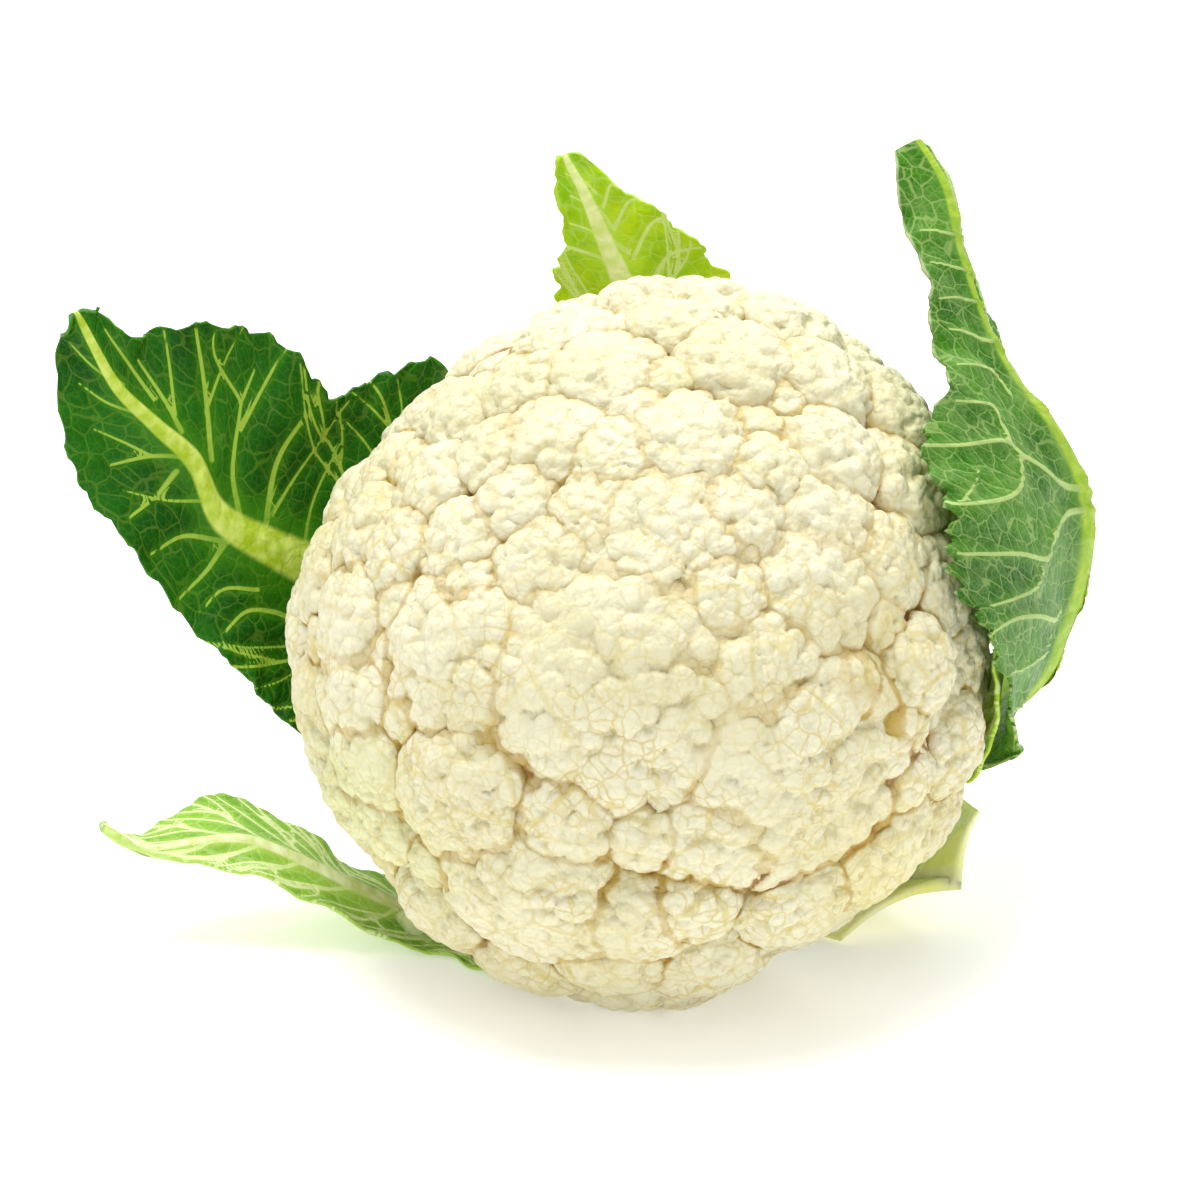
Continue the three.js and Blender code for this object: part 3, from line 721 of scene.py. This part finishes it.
def spread_skin(leaf, veins, u, v, places, normal):
    """Signed and plain distance from each place to the nearest vein, in widths of that vein."""
    spots, runs, widths = [], [], []
    for line, width in veins:
        fine = np.linspace(0, 1, max(8, len(line) * 4))
        index = np.arange(len(line)) / max(1, len(line) - 1)
        along = np.stack([np.interp(fine, index, line[:, k]) for k in (0, 1)], 1)
        on = blade_places(leaf, along[:, 0], along[:, 1])
        spots.append(on)
        runs.append(np.gradient(on, axis=0))
        widths.append(width * np.linspace(1.0, 0.45, len(on)))
    spots, runs, widths = np.vstack(spots), np.vstack(runs), np.concatenate(widths)
    tree = kdtree.KDTree(len(spots))
    for i, spot in enumerate(spots):
        tree.insert(spot, i)
    tree.balance()
    found = np.array([tree.find(place)[1] for place in places])
    gap = places - spots[found]
    run = runs[found] / (np.linalg.norm(runs[found], axis=1)[:, None] + 1e-9)
    off = gap - (gap * run).sum(1)[:, None] * run
    plain = np.linalg.norm(gap, axis=1)
    across_run = np.linalg.norm(off, axis=1) * np.sign((np.cross(run, gap) * normal).sum(1))
    return across_run / widths[found], plain / widths[found], plain


def grow_leaf(name, leaf, veins, columns, rows, finish):
    """A leaf as one closed blade: a flat sheet is given its two skins and bent to the leaf."""
    bm = bmesh.new()
    bmesh.ops.create_grid(bm, x_segments=columns, y_segments=rows, size=0.5)
    bmesh.ops.solidify(bm, geom=bm.faces[:], thickness=0.1)
    bmesh.ops.recalc_face_normals(bm, faces=bm.faces[:])
    mesh = bpy.data.meshes.new(name)
    bm.to_mesh(mesh)
    bm.free()
    flat = mesh_places(mesh)
    table = np.linspace(0, 1, 300)
    steps = np.linalg.norm(np.diff(smooth_line(leaf["rib"], table), axis=0), axis=1)
    length = np.concatenate(((0,), np.cumsum(steps)))
    share = np.clip(flat[:, 0] + 0.5, 0, 1)
    u = np.interp(share * length[-1], length, table)
    v = np.clip(2 * flat[:, 1], -1, 1)
    low, high = flat[:, 2].min(), flat[:, 2].max()
    outer = flat[:, 2] > (low + high) / 2
    uneven = 2.2 * np.sin(9.7 * share + np.sign(v))
    scallop = 0.5 - 0.5 * np.cos(2 * math.pi * leaf["scallops"] * share + uneven)
    fray = 0.5 + 0.5 * np.sin(2 * math.pi * 2.7 * leaf["scallops"] * share + 3 * np.sin(23 * share))
    toothed = smooth_step(leaf["smooth_to"], leaf["smooth_to"] + 0.15, u)
    cut = leaf["tooth"] * (0.72 * scallop ** 1.4 + 0.28 * fray) * toothed
    v = v * (1 - cut * np.abs(v) ** 5)
    places = blade_places(leaf, u, v)
    normal = blade_normal(leaf, u, v)
    side = blade_places(leaf, u, np.sign(v) + (v == 0)) - blade_places(leaf, u, np.zeros_like(v))
    half_width = np.linalg.norm(side, axis=1)
    from_rib = np.linalg.norm(places - blade_places(leaf, u, np.zeros_like(v)), axis=1)
    (wide, narrow), (thick, thin) = leaf["rib_width"], leaf["rib_depth"]
    rib_width = wide + (narrow - wide) * u
    seen_width = rib_width * (1 - RIB_TAPER * smooth_step(0.2, 0.75, u))
    rib_depth = thick + (thin - thick) * u
    swell = rib_depth * np.exp(-(from_rib / rib_width) ** 2)
    signed, near, away = spread_skin(leaf, veins, u, v, places, normal)
    on_vein = np.exp(-np.minimum(near, 4) ** 2)
    quilt = leaf["quilt"] * (1 - np.exp(-(away / 3.5) ** 2)) * smooth_step(0.5, 2.2, from_rib / rib_width)
    edge = np.abs(v) ** 5
    turns = 2 * math.pi * length[-1] * share / RUFFLE_PITCH
    ruffle = leaf["ruffle"] * edge * np.sin(turns + 2.5 * np.sin(13 * share) + v)
    half = leaf["blade"] / 2 * (1 - 0.5 * edge ** 2)
    inside = half + RIB_INSIDE * swell - 0.12 * on_vein
    outside = -half - (1 - RIB_INSIDE) * swell - leaf["vein_rise"] * on_vein * (1 - 0.6 * edge)
    lift = np.where(outer, outside, inside) + (quilt + ruffle)
    places = places + normal * lift[:, None]
    places = np.clip(places, BOX_LOW + 0.05, BOX_HIGH - 0.05)
    places[:, 2] = np.maximum(places[:, 2], 0.15 - HEAD_CENTRE[2])
    move_points(mesh, places)
    paint_points(mesh, "vein", np.clip(signed, -6, 6))
    paint_points(mesh, "vein_near", np.minimum(near, 8))
    paint_points(mesh, "rib", np.sign(v) * np.minimum(from_rib / seen_width, 6))
    paint_points(mesh, "along", share)
    paint_points(mesh, "edge", (1 - np.abs(v)) * half_width)
    paint_points(mesh, "face", outer)
    ends = np.empty(len(mesh.loops), np.int32)
    mesh.loops.foreach_get("vertex_index", ends)
    sheet = np.stack((share * length[-1], v * half_width), 1) * 0.001
    mesh.uv_layers.new(name="sheet").data.foreach_set("uv", sheet[ends].astype(np.float32).ravel())
    show(name + "_blade", mesh, finish, name)


def leaf_net_group():
    """Leaf net: the mesh of small veins in a blade, as a mask of lines and a quilted height."""
    group, start, finish = new_group("leaf_net", {"Sheet": "Vector"}, {"Lines": "Float", "Height": "Float"})
    sheet = start["Sheet"]
    bent = add_node(group, "ShaderNodeTexNoise", {"Vector": sheet, "Scale": 180.0, "Detail": 2.0})
    sockets = {0: bent.outputs["Color"], 1: (0.0024, 0.0024, 0.0024), 2: sheet}
    shift = add_node(group, "ShaderNodeVectorMath", sockets, operation="MULTIPLY_ADD").outputs[0]
    wide = cells(group, shift, 210.0, "DISTANCE_TO_EDGE")
    small = cells(group, shift, 560.0, "DISTANCE_TO_EDGE")
    wide_line, small_line = fade(group, wide, 0.06, 0.01), fade(group, small, 0.1, 0.01)
    lines = sums(group, "MULTIPLY_ADD", small_line, 0.4, wide_line, clamp=True)
    group.links.new(lines, finish["Lines"])
    wide_dome, small_dome = fade(group, wide, 0.0, 0.3), fade(group, small, 0.0, 0.3)
    group.links.new(sums(group, "MULTIPLY_ADD", small_dome, 0.35, wide_dome), finish["Height"])
    return group


leaf_net = leaf_net_group()


def leaf_finish(name, inner, outer, vein, rib, rim, net=0.35, rough=0.42, bloom=0.0, rib_width=0.8,
                base=None, lip=None, glow=0.0):
    """A leaf's skin: (deep, bright) colours of each face, its veins, midrib and rim."""
    material, tree, shader, place = new_finish(name, rough, Specular_IOR_Level=0.12, Subsurface_Weight=glow,
                                               Subsurface_Scale=0.004, Subsurface_Radius=(1.0, 1.0, 0.5))
    sheet = add_node(tree, "ShaderNodeUVMap", uv_map="sheet").outputs["UV"]
    lines = add_node(tree, "ShaderNodeGroup", {}, node_tree=leaf_net)
    tree.links.new(sheet, lines.inputs["Sheet"])
    broad, fine = mottle(tree, place, 45.0, 4.0, 0.6), mottle(tree, place, 900.0, 3.0)
    cloud = fade(tree, broad, 0.32, 0.68)
    along, face = read_points(tree, "along"), read_points(tree, "face")
    inner_skin = tint(tree, cloud, inner[0], inner[1])
    outer_skin = tint(tree, cloud, outer[0], outer[1])
    skin = tint(tree, face, inner_skin, outer_skin)
    skin = tint(tree, times(tree, lines.outputs["Lines"], net), skin, vein)
    near = read_points(tree, "vein_near")
    skin = tint(tree, times(tree, fade(tree, near, 5.0, 1.0), 0.35), skin, rim)
    side = sums(tree, "ABSOLUTE", read_points(tree, "vein"))
    on_vein = times(tree, fade(tree, side, 1.1, 0.6), fade(tree, near, 2.2, 1.4))
    skin = tint(tree, times(tree, on_vein, 0.95), skin, vein)
    from_rib = sums(tree, "ABSOLUTE", read_points(tree, "rib"))
    skin = tint(tree, times(tree, fade(tree, from_rib, 2.4, 0.6), 0.5), skin, rim)
    streak = mottle(tree, sheet, 260.0, 3.0)
    rib_skin = tint(tree, fade(tree, streak, 0.3, 0.7), rib[0], rib[1])
    skin = tint(tree, fade(tree, from_rib, rib_width, rib_width * 0.62), skin, rib_skin)
    if base:
        skin = tint(tree, fade(tree, along, base[2], base[1]), skin, base[0])
    edge = read_points(tree, "edge")
    skin = tint(tree, times(tree, fade(tree, edge, 0.9, 0.25), 0.6), skin, lip or rim)
    if bloom:
        waxy = times(tree, fade(tree, mottle(tree, place, 120.0, 5.0, 0.7), 0.4, 0.7), bloom)
        skin = tint(tree, waxy, skin, (0.26, 0.42, 0.12, 1))
    tree.links.new(skin, shader.inputs["Base Color"])
    tree.links.new(sums(tree, "MULTIPLY_ADD", fine, 0.25, rough - 0.12), shader.inputs["Roughness"])
    height = sums(tree, "MULTIPLY_ADD", fine, 0.12, times(tree, lines.outputs["Height"], 0.6))
    press(tree, shader, height, 0.0005, 0.6)
    return material


left_leaf = dict(
    rib=((3, -22, -70), (-27, -8, -64), (-57, 8, -52), (-73, 14, -42), (-86, 20, -32), (-97, 27, -25),
         (-102, 39, -20), (-110, 47, -14), (-118, 55, -9), (-123, 64, -5), (-127, 72, -2)),
    left=((5, -36, -68), (-32, -26, -60), (-72, -26, -42), (-85, -18, -34), (-95, -8, -28), (-107, 5, -24),
          (-119, 21, -18), (-128, 33, -14), (-132, 47, -10), (-132, 64, -6), (-129.5, 71, -2)),
    right=((3, -8, -68), (-20, 18, -62), (-46, 62, -54), (-58, 62, -46), (-71, 55.5, -36), (-81, 67, -25),
           (-94, 71, -18), (-108, 70, -12), (-115, 67.5, -8), (-121, 72, -5), (-124.5, 73, -2)),
    hug=1.6, arch=0.06, wave=2, waves=5, tooth=0.055, smooth_to=0.2, scallops=24, quilt=1.3, ruffle=0.9,
    rib_width=(11, 1.5), rib_depth=(8, 1), blade=1.2, vein_rise=0.7)
LEFT_VEINS = (
    (0.9, ((-91, 28), (-92, 37), (-90, 52))),
    (0.55, ((-90, 52), (-87, 59))),
    (0.55, ((-90, 46), (-83, 59), (-77, 68))),
    (0.9, ((-85, 24), (-82, 39), (-75, 50), (-72, 56))),
    (0.9, ((-97, 40), (-98, 52), (-100, 68))),
    (0.5, ((-98, 50), (-94, 61), (-90, 69))),
    (0.8, ((-104, 46), (-107, 52), (-113, 61))),
    (0.5, ((-105, 50), (-106, 60), (-107, 68))),
    (0.6, ((-110, 53), (-115, 60), (-120, 68))),
    (0.8, ((-70, 20), (-70, 28), (-67, 34))),
    (0.6, ((-85, 24), (-77, 37), (-66, 52))),
    (0.6, ((-77, 17), (-74, 30), (-68, 43))),
    (0.8, ((-101, 40), (-110, 40), (-119, 38))),
    (0.8, ((-105, 36), (-109, 31), (-115, 26))),
    (0.8, ((-94, 21), (-103, 22), (-110, 18))),
    (0.8, ((-94, 20), (-98, 14), (-104, 8))),
    (0.8, ((-78, 3), (-83, 5), (-89, 5), (-94, 0))),
    (0.5, ((-110, 40), (-116, 43), (-123, 46))),
    (0.5, ((-99, 30), (-107, 30), (-116, 32))),
    (0.6, ((-87, 10), (-94, 10), (-99, 5))),
    (0.5, ((-90, 52), (-96, 62), (-96, 69))),
    (0.5, ((-114, 50), (-120, 52), (-126, 56))),
    (0.5, ((-117, 56), (-123, 60), (-128, 65))),
)


def rooted(leaf):
    """A leaf's stations as places from the head's centre, with the rest of its sizes."""
    return {**leaf, **{key: from_sight(*np.array(leaf[key], float).T) for key in ("rib", "left", "right")}}


left_leaf = rooted(left_leaf)
dark_leaf = leaf_finish(
    "dark_leaf", inner=((0.003, 0.070, 0.001, 1), (0.012, 0.13, 0.002, 1)),
    outer=((0.06, 0.20, 0.05, 1), (0.10, 0.28, 0.08, 1)), vein=(0.34, 0.52, 0.06, 1),
    rib=((0.36, 0.52, 0.015, 1), (0.62, 0.74, 0.16, 1)), rim=(0.06, 0.24, 0.004, 1), net=0.16, rough=0.4,
    base=((0.62, 0.74, 0.28, 1), 0.25, 0.42))
grow_leaf("leaf_left", left_leaf, seen_veins(left_leaf, LEFT_VEINS) + side_veins(left_leaf, 0.02, 0.3, 2),
          160, 80, dark_leaf)

# Leaf at the top.
# A small young leaf standing behind the crown, bright yellow green, with a broad pale midrib.
top_leaf = rooted(dict(
    rib=((19, -6, -74), (14, 28, -68), (8, 52, -56), (-2.5, 77, -42), (-9, 92, -34), (-13.5, 102, -29),
         (-18, 110, -27)),
    left=((5, -4, -70), (-4, 26, -64), (-14, 52, -54), (-21, 80, -42), (-18.5, 91, -35), (-20.5, 103, -30),
          (-19.5, 109.5, -27)),
    right=((33, -8, -70), (34, 26, -64), (34, 54, -54), (22, 82, -42), (7.5, 96, -35), (-5, 103, -30),
           (-13.5, 111, -27)),
    hug=1.6, arch=0.08, wave=1, waves=5, tooth=0.14, smooth_to=0.3, scallops=15, quilt=1.0, ruffle=0.6,
    rib_width=(10, 1.5), rib_depth=(7, 1), blade=1.2, vein_rise=0.6))
TOP_VEINS = (
    (0.8, ((-1, 77), (-6, 83), (-14, 86), (-19, 87))),
    (0.7, ((-4, 86), (-10, 90), (-16, 92))),
    (0.6, ((-7, 91), (-11, 96), (-16, 98))),
    (0.8, ((2, 79), (6, 85), (13, 87))),
    (0.7, ((-2, 85), (2, 92), (8, 94))),
    (0.6, ((-6, 92), (-3, 97), (3, 99))),
    (0.5, ((-9, 96), (-7, 101), (-3, 103))),
    (0.4, ((-11, 99), (-14, 102), (-17, 103))),
)
bright_leaf = leaf_finish(
    "bright_leaf", inner=((0.24, 0.50, 0.002, 1), (0.56, 0.74, 0.004, 1)),
    outer=((0.22, 0.45, 0.05, 1), (0.34, 0.56, 0.10, 1)), vein=(0.62, 0.78, 0.25, 1),
    rib=((0.62, 0.74, 0.22, 1), (0.80, 0.86, 0.45, 1)), rim=(0.45, 0.68, 0.05, 1), net=0.3, rough=0.4,
    base=((0.72, 0.80, 0.42, 1), 0.2, 0.5))
grow_leaf("leaf_top", top_leaf, seen_veins(top_leaf, TOP_VEINS) + side_veins(top_leaf, 0.02, 0.5, 3),
          150, 70, bright_leaf)

# Leaf on the right.
# A tall outer leaf seen on its back: dull blue green under a waxy bloom, with a strong midrib
# that stands out and is palest where it is thickest.
right_leaf = rooted(dict(
    rib=((40, -28, -74), (62, -27, -60), (87, -11, -44), (94, 2, -34), (98, 17, -22), (97, 30.5, -12),
         (90.5, 43.5, -2), (80.5, 55.5, 5), (73.5, 68.5, 9), (68.5, 84, 12), (66, 98, 12), (60, 109, 12)),
    left=((46, -14, -82), (64, -14, -76), (90, -8.5, -68), (96.5, 5.5, -60), (99.5, 20, -50),
          (98.5, 33.5, -40), (92.5, 46, -30), (84.5, 57, -22), (79, 65.5, -14), (72.5, 83, -6),
          (67, 99.5, 0), (63.5, 108.5, 8)),
    right=((38, -42, -72), (81.5, -28.9, -10), (77.8, -15.3, 20), (73.2, -1, 39), (65.4, 12.9, 48),
           (63.4, 25.8, 46), (59.4, 41.3, 42), (64.8, 54.8, 30), (63, 69, 25), (60.5, 81, 21),
           (56, 96, 17), (55, 107, 14)),
    hug=5, arch=0.08, wave=1.4, waves=6, tooth=0.06, smooth_to=0.05, scallops=30, quilt=0.9, ruffle=0.7,
    rib_width=(9.5, 1.6), rib_depth=(7.6, 1.2), blade=1.2, vein_rise=0.8))
RIGHT_VEINS = (
    (0.9, ((100, 30), (94, 33), (89, 37), (84, 40), (80, 43), (71, 42), (63, 42))),
    (0.8, ((84, 39), (84, 33), (80, 30), (71, 29), (67, 30))),
    (0.9, ((101, 28), (95, 27), (92, 22), (90, 17), (84, 18), (77, 18), (70, 18))),
    (0.7, ((90, 17), (88, 11), (83, 8), (77, 6))),
    (0.8, ((100, 4), (93, 3), (88, 4), (82, 3), (77, -1))),
    (0.6, ((96, -2), (90, -5), (85, -8), (81, -10))),
    (0.7, ((82, 42), (79, 48), (77, 51), (70, 52))),
    (0.5, ((71, 29), (74, 34), (74, 39))),
    (0.6, ((82, 53), (77, 59), (70, 60))),
    (0.6, ((78, 64), (72, 67), (68, 68))),
    (0.5, ((74, 73), (70, 75), (66, 75))),
    (0.5, ((72, 80), (68, 82), (64, 83))),
    (0.5, ((70, 88), (65, 90), (62, 90))),
    (0.5, ((87, -15), (84, -21), (82, -27))),
)
bloomed_leaf = leaf_finish(
    "bloomed_leaf", inner=((0.04, 0.18, 0.004, 1), (0.10, 0.30, 0.01, 1)),
    outer=((0.014, 0.11, 0.001, 1), (0.06, 0.22, 0.008, 1)), vein=(0.46, 0.60, 0.20, 1),
    rib=((0.26, 0.44, 0.008, 1), (0.40, 0.56, 0.06, 1)), rim=(0.12, 0.30, 0.03, 1), net=0.4, rough=0.5,
    bloom=0.35, rib_width=1.25, lip=(0.62, 0.70, 0.38, 1))
far_veins = [(line, width) for line, width in side_veins(right_leaf, 0.02, 0.98, 10) if line[-1, 1] < 0]
grow_leaf("leaf_right", right_leaf, seen_veins(right_leaf, RIGHT_VEINS) + far_veins,
          260, 60, bloomed_leaf)

# Small leaf inside the right one.
# The curled edge of a young leaf, pressed between the curd and the tall leaf.
inner_leaf = rooted(dict(
    rib=((30, -22, -60), (55, -26, -44), (72, -27, -24), (77, -21, -8), (77, -12, 4), (73, -2, 14)),
    left=((24, -28, -58), (50, -34, -40), (69, -35, -10), (75, -26, 6), (75, -15, 18), (72, -3, 26)),
    right=((36, -16, -62), (60, -18, -46), (75, -20, -34), (79, -14, -20), (79, -7, -10), (75, -1, 4)),
    hug=1.6, arch=0.1, wave=0.6, waves=4, tooth=0.15, smooth_to=0.3, scallops=7, quilt=0.5, ruffle=0.4,
    rib_width=(6, 1.2), rib_depth=(4, 0.6), blade=1.2, vein_rise=0.4))
grow_leaf("leaf_inner", inner_leaf, side_veins(inner_leaf, 0.1, 0.95, 6, seed=40),
          110, 50, bright_leaf)

# Low leaf on the left.
# A narrow leaf that lies on the table with its tip out to the left, pale along its near half.
low_leaf = rooted(dict(
    rib=((8, -38, -82), (-15, -52, -64), (-43, -67, -24), (-56, -62.5, -30), (-68.5, -56.5, -27),
         (-80, -51, -24), (-91, -47, -21), (-102, -47.5, -18), (-112.5, -48.5, -15), (-122.5, -43.5, -13)),
    left=((14, -46, -78), (0, -64, -40), (-27.5, -77, -6), (-45, -73.5, -16), (-61.5, -68, -17),
          (-74.5, -61, -16), (-87, -55.5, -15), (-99.5, -52.5, -14), (-111.5, -50, -14), (-122, -44.5, -12)),
    right=((2, -28, -86), (-22, -38, -78), (-47.5, -63, -44), (-56, -59, -48), (-68, -54, -46),
           (-78, -46, -42), (-93.5, -38, -38), (-106.5, -39.5, -34), (-115, -46.5, -24),
           (-122.5, -42.5, -14)),
    hug=1.6, arch=0.1, wave=0.6, waves=6, tooth=0.1, smooth_to=0.3, scallops=12, quilt=0.6, ruffle=0.5,
    rib_width=(9, 1.2), rib_depth=(6, 0.8), blade=1.2, vein_rise=0.5))
low_skin = leaf_finish(
    "low_leaf_skin", inner=((0.12, 0.33, 0.02, 1), (0.24, 0.48, 0.04, 1)),
    outer=((0.42, 0.62, 0.13, 1), (0.56, 0.74, 0.22, 1)), vein=(0.70, 0.82, 0.40, 1),
    rib=((0.60, 0.68, 0.25, 1), (0.80, 0.86, 0.55, 1)), rim=(0.45, 0.66, 0.12, 1), net=0.3, rough=0.42,
    base=((0.50, 0.52, 0.10, 1), 0.3, 0.55))
grow_leaf("leaf_low_left", low_leaf, side_veins(low_leaf, 0.02, 0.95, 9, seed=90),
          180, 56, low_skin)

# Trimmed leaf at the lower right.
# What is left of an outer leaf after the knife: a short cream hollow with a dotted cut edge.
low_right = rooted(dict(
    rib=((24, -40, -82), (44, -54, -62), (58, -60, -44), (73.5, -58.5, -32)),
    left=((14, -46, -76), (24, -62, -52), (35, -68, -32), (45.5, -70.5, -24)),
    right=((34, -30, -84), (58, -36, -70), (70, -36, -54), (78.5, -41.5, -38)),
    hug=1.6, arch=0.12, wave=0, waves=1, tooth=0, smooth_to=0.9, scallops=3, quilt=0.3, ruffle=0.0,
    rib_width=(12, 12), rib_depth=(5, 1.6), blade=1.4, vein_rise=0.3))
pale_leaf = leaf_finish(
    "pale_leaf", inner=((0.92, 0.88, 0.30, 1), (0.95, 0.93, 0.55, 1)),
    outer=((0.88, 0.87, 0.36, 1), (0.94, 0.93, 0.58, 1)), vein=(0.95, 0.95, 0.68, 1),
    rib=((0.74, 0.76, 0.36, 1), (0.84, 0.85, 0.55, 1)), rim=(0.72, 0.78, 0.22, 1), net=0.12, rough=0.45,
    glow=0.4)
grow_leaf("leaf_low_right", low_right, side_veins(low_right, 0.1, 0.9, 5, seed=130),
          70, 70, pale_leaf)

# Cut leaf bases round the stem.
# Three outer leaves were cut off close to the curd and left their thick pale bases behind.
BASE_STARTS_OUT, BASE_STARTS_BACK, BASE_RUNS_ALONG = 17, 90, 58
for name, bearing, width, reach_out in (
        ("leaf_base_upper_left", 138, 25, 52),
        ("leaf_base_upper_right", 40, 27, 56),
        ("leaf_base_under", 268, 24, 44)):
    shares = np.array((0, 0.33, 0.67, 1))
    radius = BASE_STARTS_OUT + reach_out * shares
    back = -BASE_STARTS_BACK + BASE_RUNS_ALONG * shares ** 1.4
    fan = width * (0.7 + 0.5 * shares) / (2 * (radius + 14))
    base = dict(
        rib=from_head(math.radians(bearing) + 0 * fan, radius, back),
        left=from_head(math.radians(bearing) - fan, radius, back),
        right=from_head(math.radians(bearing) + fan, radius, back),
        hug=1.6, arch=0.14, wave=0, waves=1, tooth=0, smooth_to=0.9, scallops=3, quilt=0.2, ruffle=0.0,
        rib_width=(12, 9), rib_depth=(5, 3), blade=1.6, vein_rise=0.3)
    grow_leaf(name, base, side_veins(base, 0.1, 0.9, 4, seed=bearing), 64, 44, pale_leaf)

# Stem.
# The thick stalk behind the curd, turned here about its own line and cut square by the knife.
STEM_END = 97.0
STEM_STEPS, CUT_START, CUT_EDGE = 112, 92, 95.5
profile = ((0, 46.3), (12, 46.3), (25, 46.3), (22.5, 52), (21, 58), (20.3, 65), (20, 72), (20.2, 78),
           (20.4, 83), (19.9, 89), (19.3, 94), (19.0, 95.6), (18.4, 96.5), (17.4, 96.9), (12, 96.6),
           (6, 96.8), (0, 96.9))
bm = bmesh.new()
spots = [bm.verts.new(Vector(across * r - crown * z)) for r, z in profile]
edges = [bm.edges.new(pair) for pair in zip(spots, spots[1:])]
bmesh.ops.subdivide_edges(bm, edges=edges, cuts=3)
bmesh.ops.spin(bm, geom=bm.verts[:] + bm.edges[:], cent=(0, 0, 0), axis=Vector(crown), angle=2 * math.pi,
               steps=STEM_STEPS, use_merge=True)
bmesh.ops.remove_doubles(bm, verts=bm.verts[:], dist=0.01)
bmesh.ops.recalc_face_normals(bm, faces=bm.faces[:])
stem_mesh = bpy.data.meshes.new("stem_stalk")
bm.to_mesh(stem_mesh)
bm.free()
points = mesh_places(stem_mesh)
down = -(points @ crown)
off = points + down[:, None] * crown
round_at = np.arctan2(off @ head_up, off @ across)
on_side = smooth_step(CUT_EDGE, CUT_START, down)
groove = 0.35 * np.sin(9 * round_at + 0.05 * down) + 0.25 * np.sin(17 * round_at - 0.04 * down)
outward = off / (np.linalg.norm(off, axis=1)[:, None] + 1e-6)
points = points + outward * (groove * on_side - 0.4 * on_side)[:, None]
move_points(stem_mesh, points)
stem_skin, tree, shader, place = new_finish("stem_skin", 0.5)
from_cut = distance_from(tree, place, on_object(-crown * STEM_END))
fibre = mottle(tree, place, 140.0, 4.0, 0.6)
bark = tint(tree, fade(tree, fibre, 0.3, 0.7), (0.60, 0.68, 0.30, 1), (0.78, 0.80, 0.52, 1))
pithy = fade(tree, mottle(tree, place, 500.0), 0.3, 0.7)
pith = tint(tree, pithy, (0.84, 0.82, 0.62, 1), (0.90, 0.88, 0.72, 1))
ring = times(tree, fade(tree, from_cut, 0.0125, 0.0145), fade(tree, from_cut, 0.0175, 0.0155))
pith = tint(tree, times(tree, ring, 0.6), pith, (0.62, 0.66, 0.34, 1))
pith = tint(tree, times(tree, fade(tree, fibre, 0.5, 0.75), 0.4), pith, (0.62, 0.46, 0.22, 1))
skin = tint(tree, fade(tree, from_cut, 0.0172, 0.0192), pith, bark)
tree.links.new(skin, shader.inputs["Base Color"])
grit = times(tree, mottle(tree, place, 900.0), 0.4)
press(tree, shader, sums(tree, "ADD", fibre, grit), 0.0006)
show("stem_stalk", stem_mesh, stem_skin, "stem")

# Floor, light and camera.
# A pale seamless table, a wide soft lamp overhead and a bright room.
FLOOR_GLOW, ROOM_LIGHT = 0.28, 0.76
EYE_DISTANCE, FRAME_WIDTH, SENSOR_WIDTH = 1.0, 0.26856, 36.0
floor_mesh = bpy.data.meshes.new("floor")
bm = bmesh.new()
bmesh.ops.create_grid(bm, x_segments=1, y_segments=1, size=4.0)
bm.to_mesh(floor_mesh)
bm.free()
floor = bpy.data.objects.new("floor", floor_mesh)
bpy.context.scene.collection.objects.link(floor)
floor_paint, tree, shader, place = new_finish("floor_paint", 0.6)
shader.inputs["Base Color"].default_value = (0.93, 0.93, 0.92, 1)
shader.inputs["Emission Color"].default_value = (1, 1, 1, 1)
shader.inputs["Emission Strength"].default_value = FLOOR_GLOW
floor_mesh.materials.append(floor_paint)


def soft_lamp(name, place, size, power):
    lamp = bpy.data.lights.new(name, "AREA")
    lamp.shape, lamp.size, lamp.energy = "DISK", size, power
    holder = bpy.data.objects.new(name, lamp)
    bpy.context.scene.collection.objects.link(holder)
    holder.location = place
    aim = Vector((0, 0.02, 0.08)) - Vector(place)
    holder.rotation_euler = aim.to_track_quat("-Z", "Y").to_euler()


soft_lamp("lamp_above", (-0.15, 0.05, 1.35), 0.9, 15.5)
soft_lamp("lamp_back", (0.5, 0.9, 0.9), 0.8, 5)
world = bpy.data.worlds.new("room")
world.use_nodes = True
world.node_tree.nodes["Background"].inputs["Color"].default_value = (1, 1, 1, 1)
world.node_tree.nodes["Background"].inputs["Strength"].default_value = ROOM_LIGHT
bpy.context.scene.world = world
bpy.context.scene.view_settings.view_transform = "Standard"

sight = Vector((0, math.cos(SIGHT_DROP), -math.sin(SIGHT_DROP)))
sight_up = Vector((0, math.sin(SIGHT_DROP), math.cos(SIGHT_DROP)))
lens = bpy.data.cameras.new("camera")
camera = bpy.data.objects.new("camera", lens)
bpy.context.scene.collection.objects.link(camera)
aside = Vector((EYE_RIGHT * 0.001, 0, 0))
camera.location = (Vector(HEAD_CENTRE * 0.001) + aside + sight_up * (EYE_UP * 0.001)
                   - sight * EYE_DISTANCE)
camera.rotation_euler = sight.to_track_quat("-Z", "Y").to_euler()
lens.sensor_width = SENSOR_WIDTH
lens.lens = SENSOR_WIDTH / FRAME_WIDTH
bpy.context.scene.camera = camera
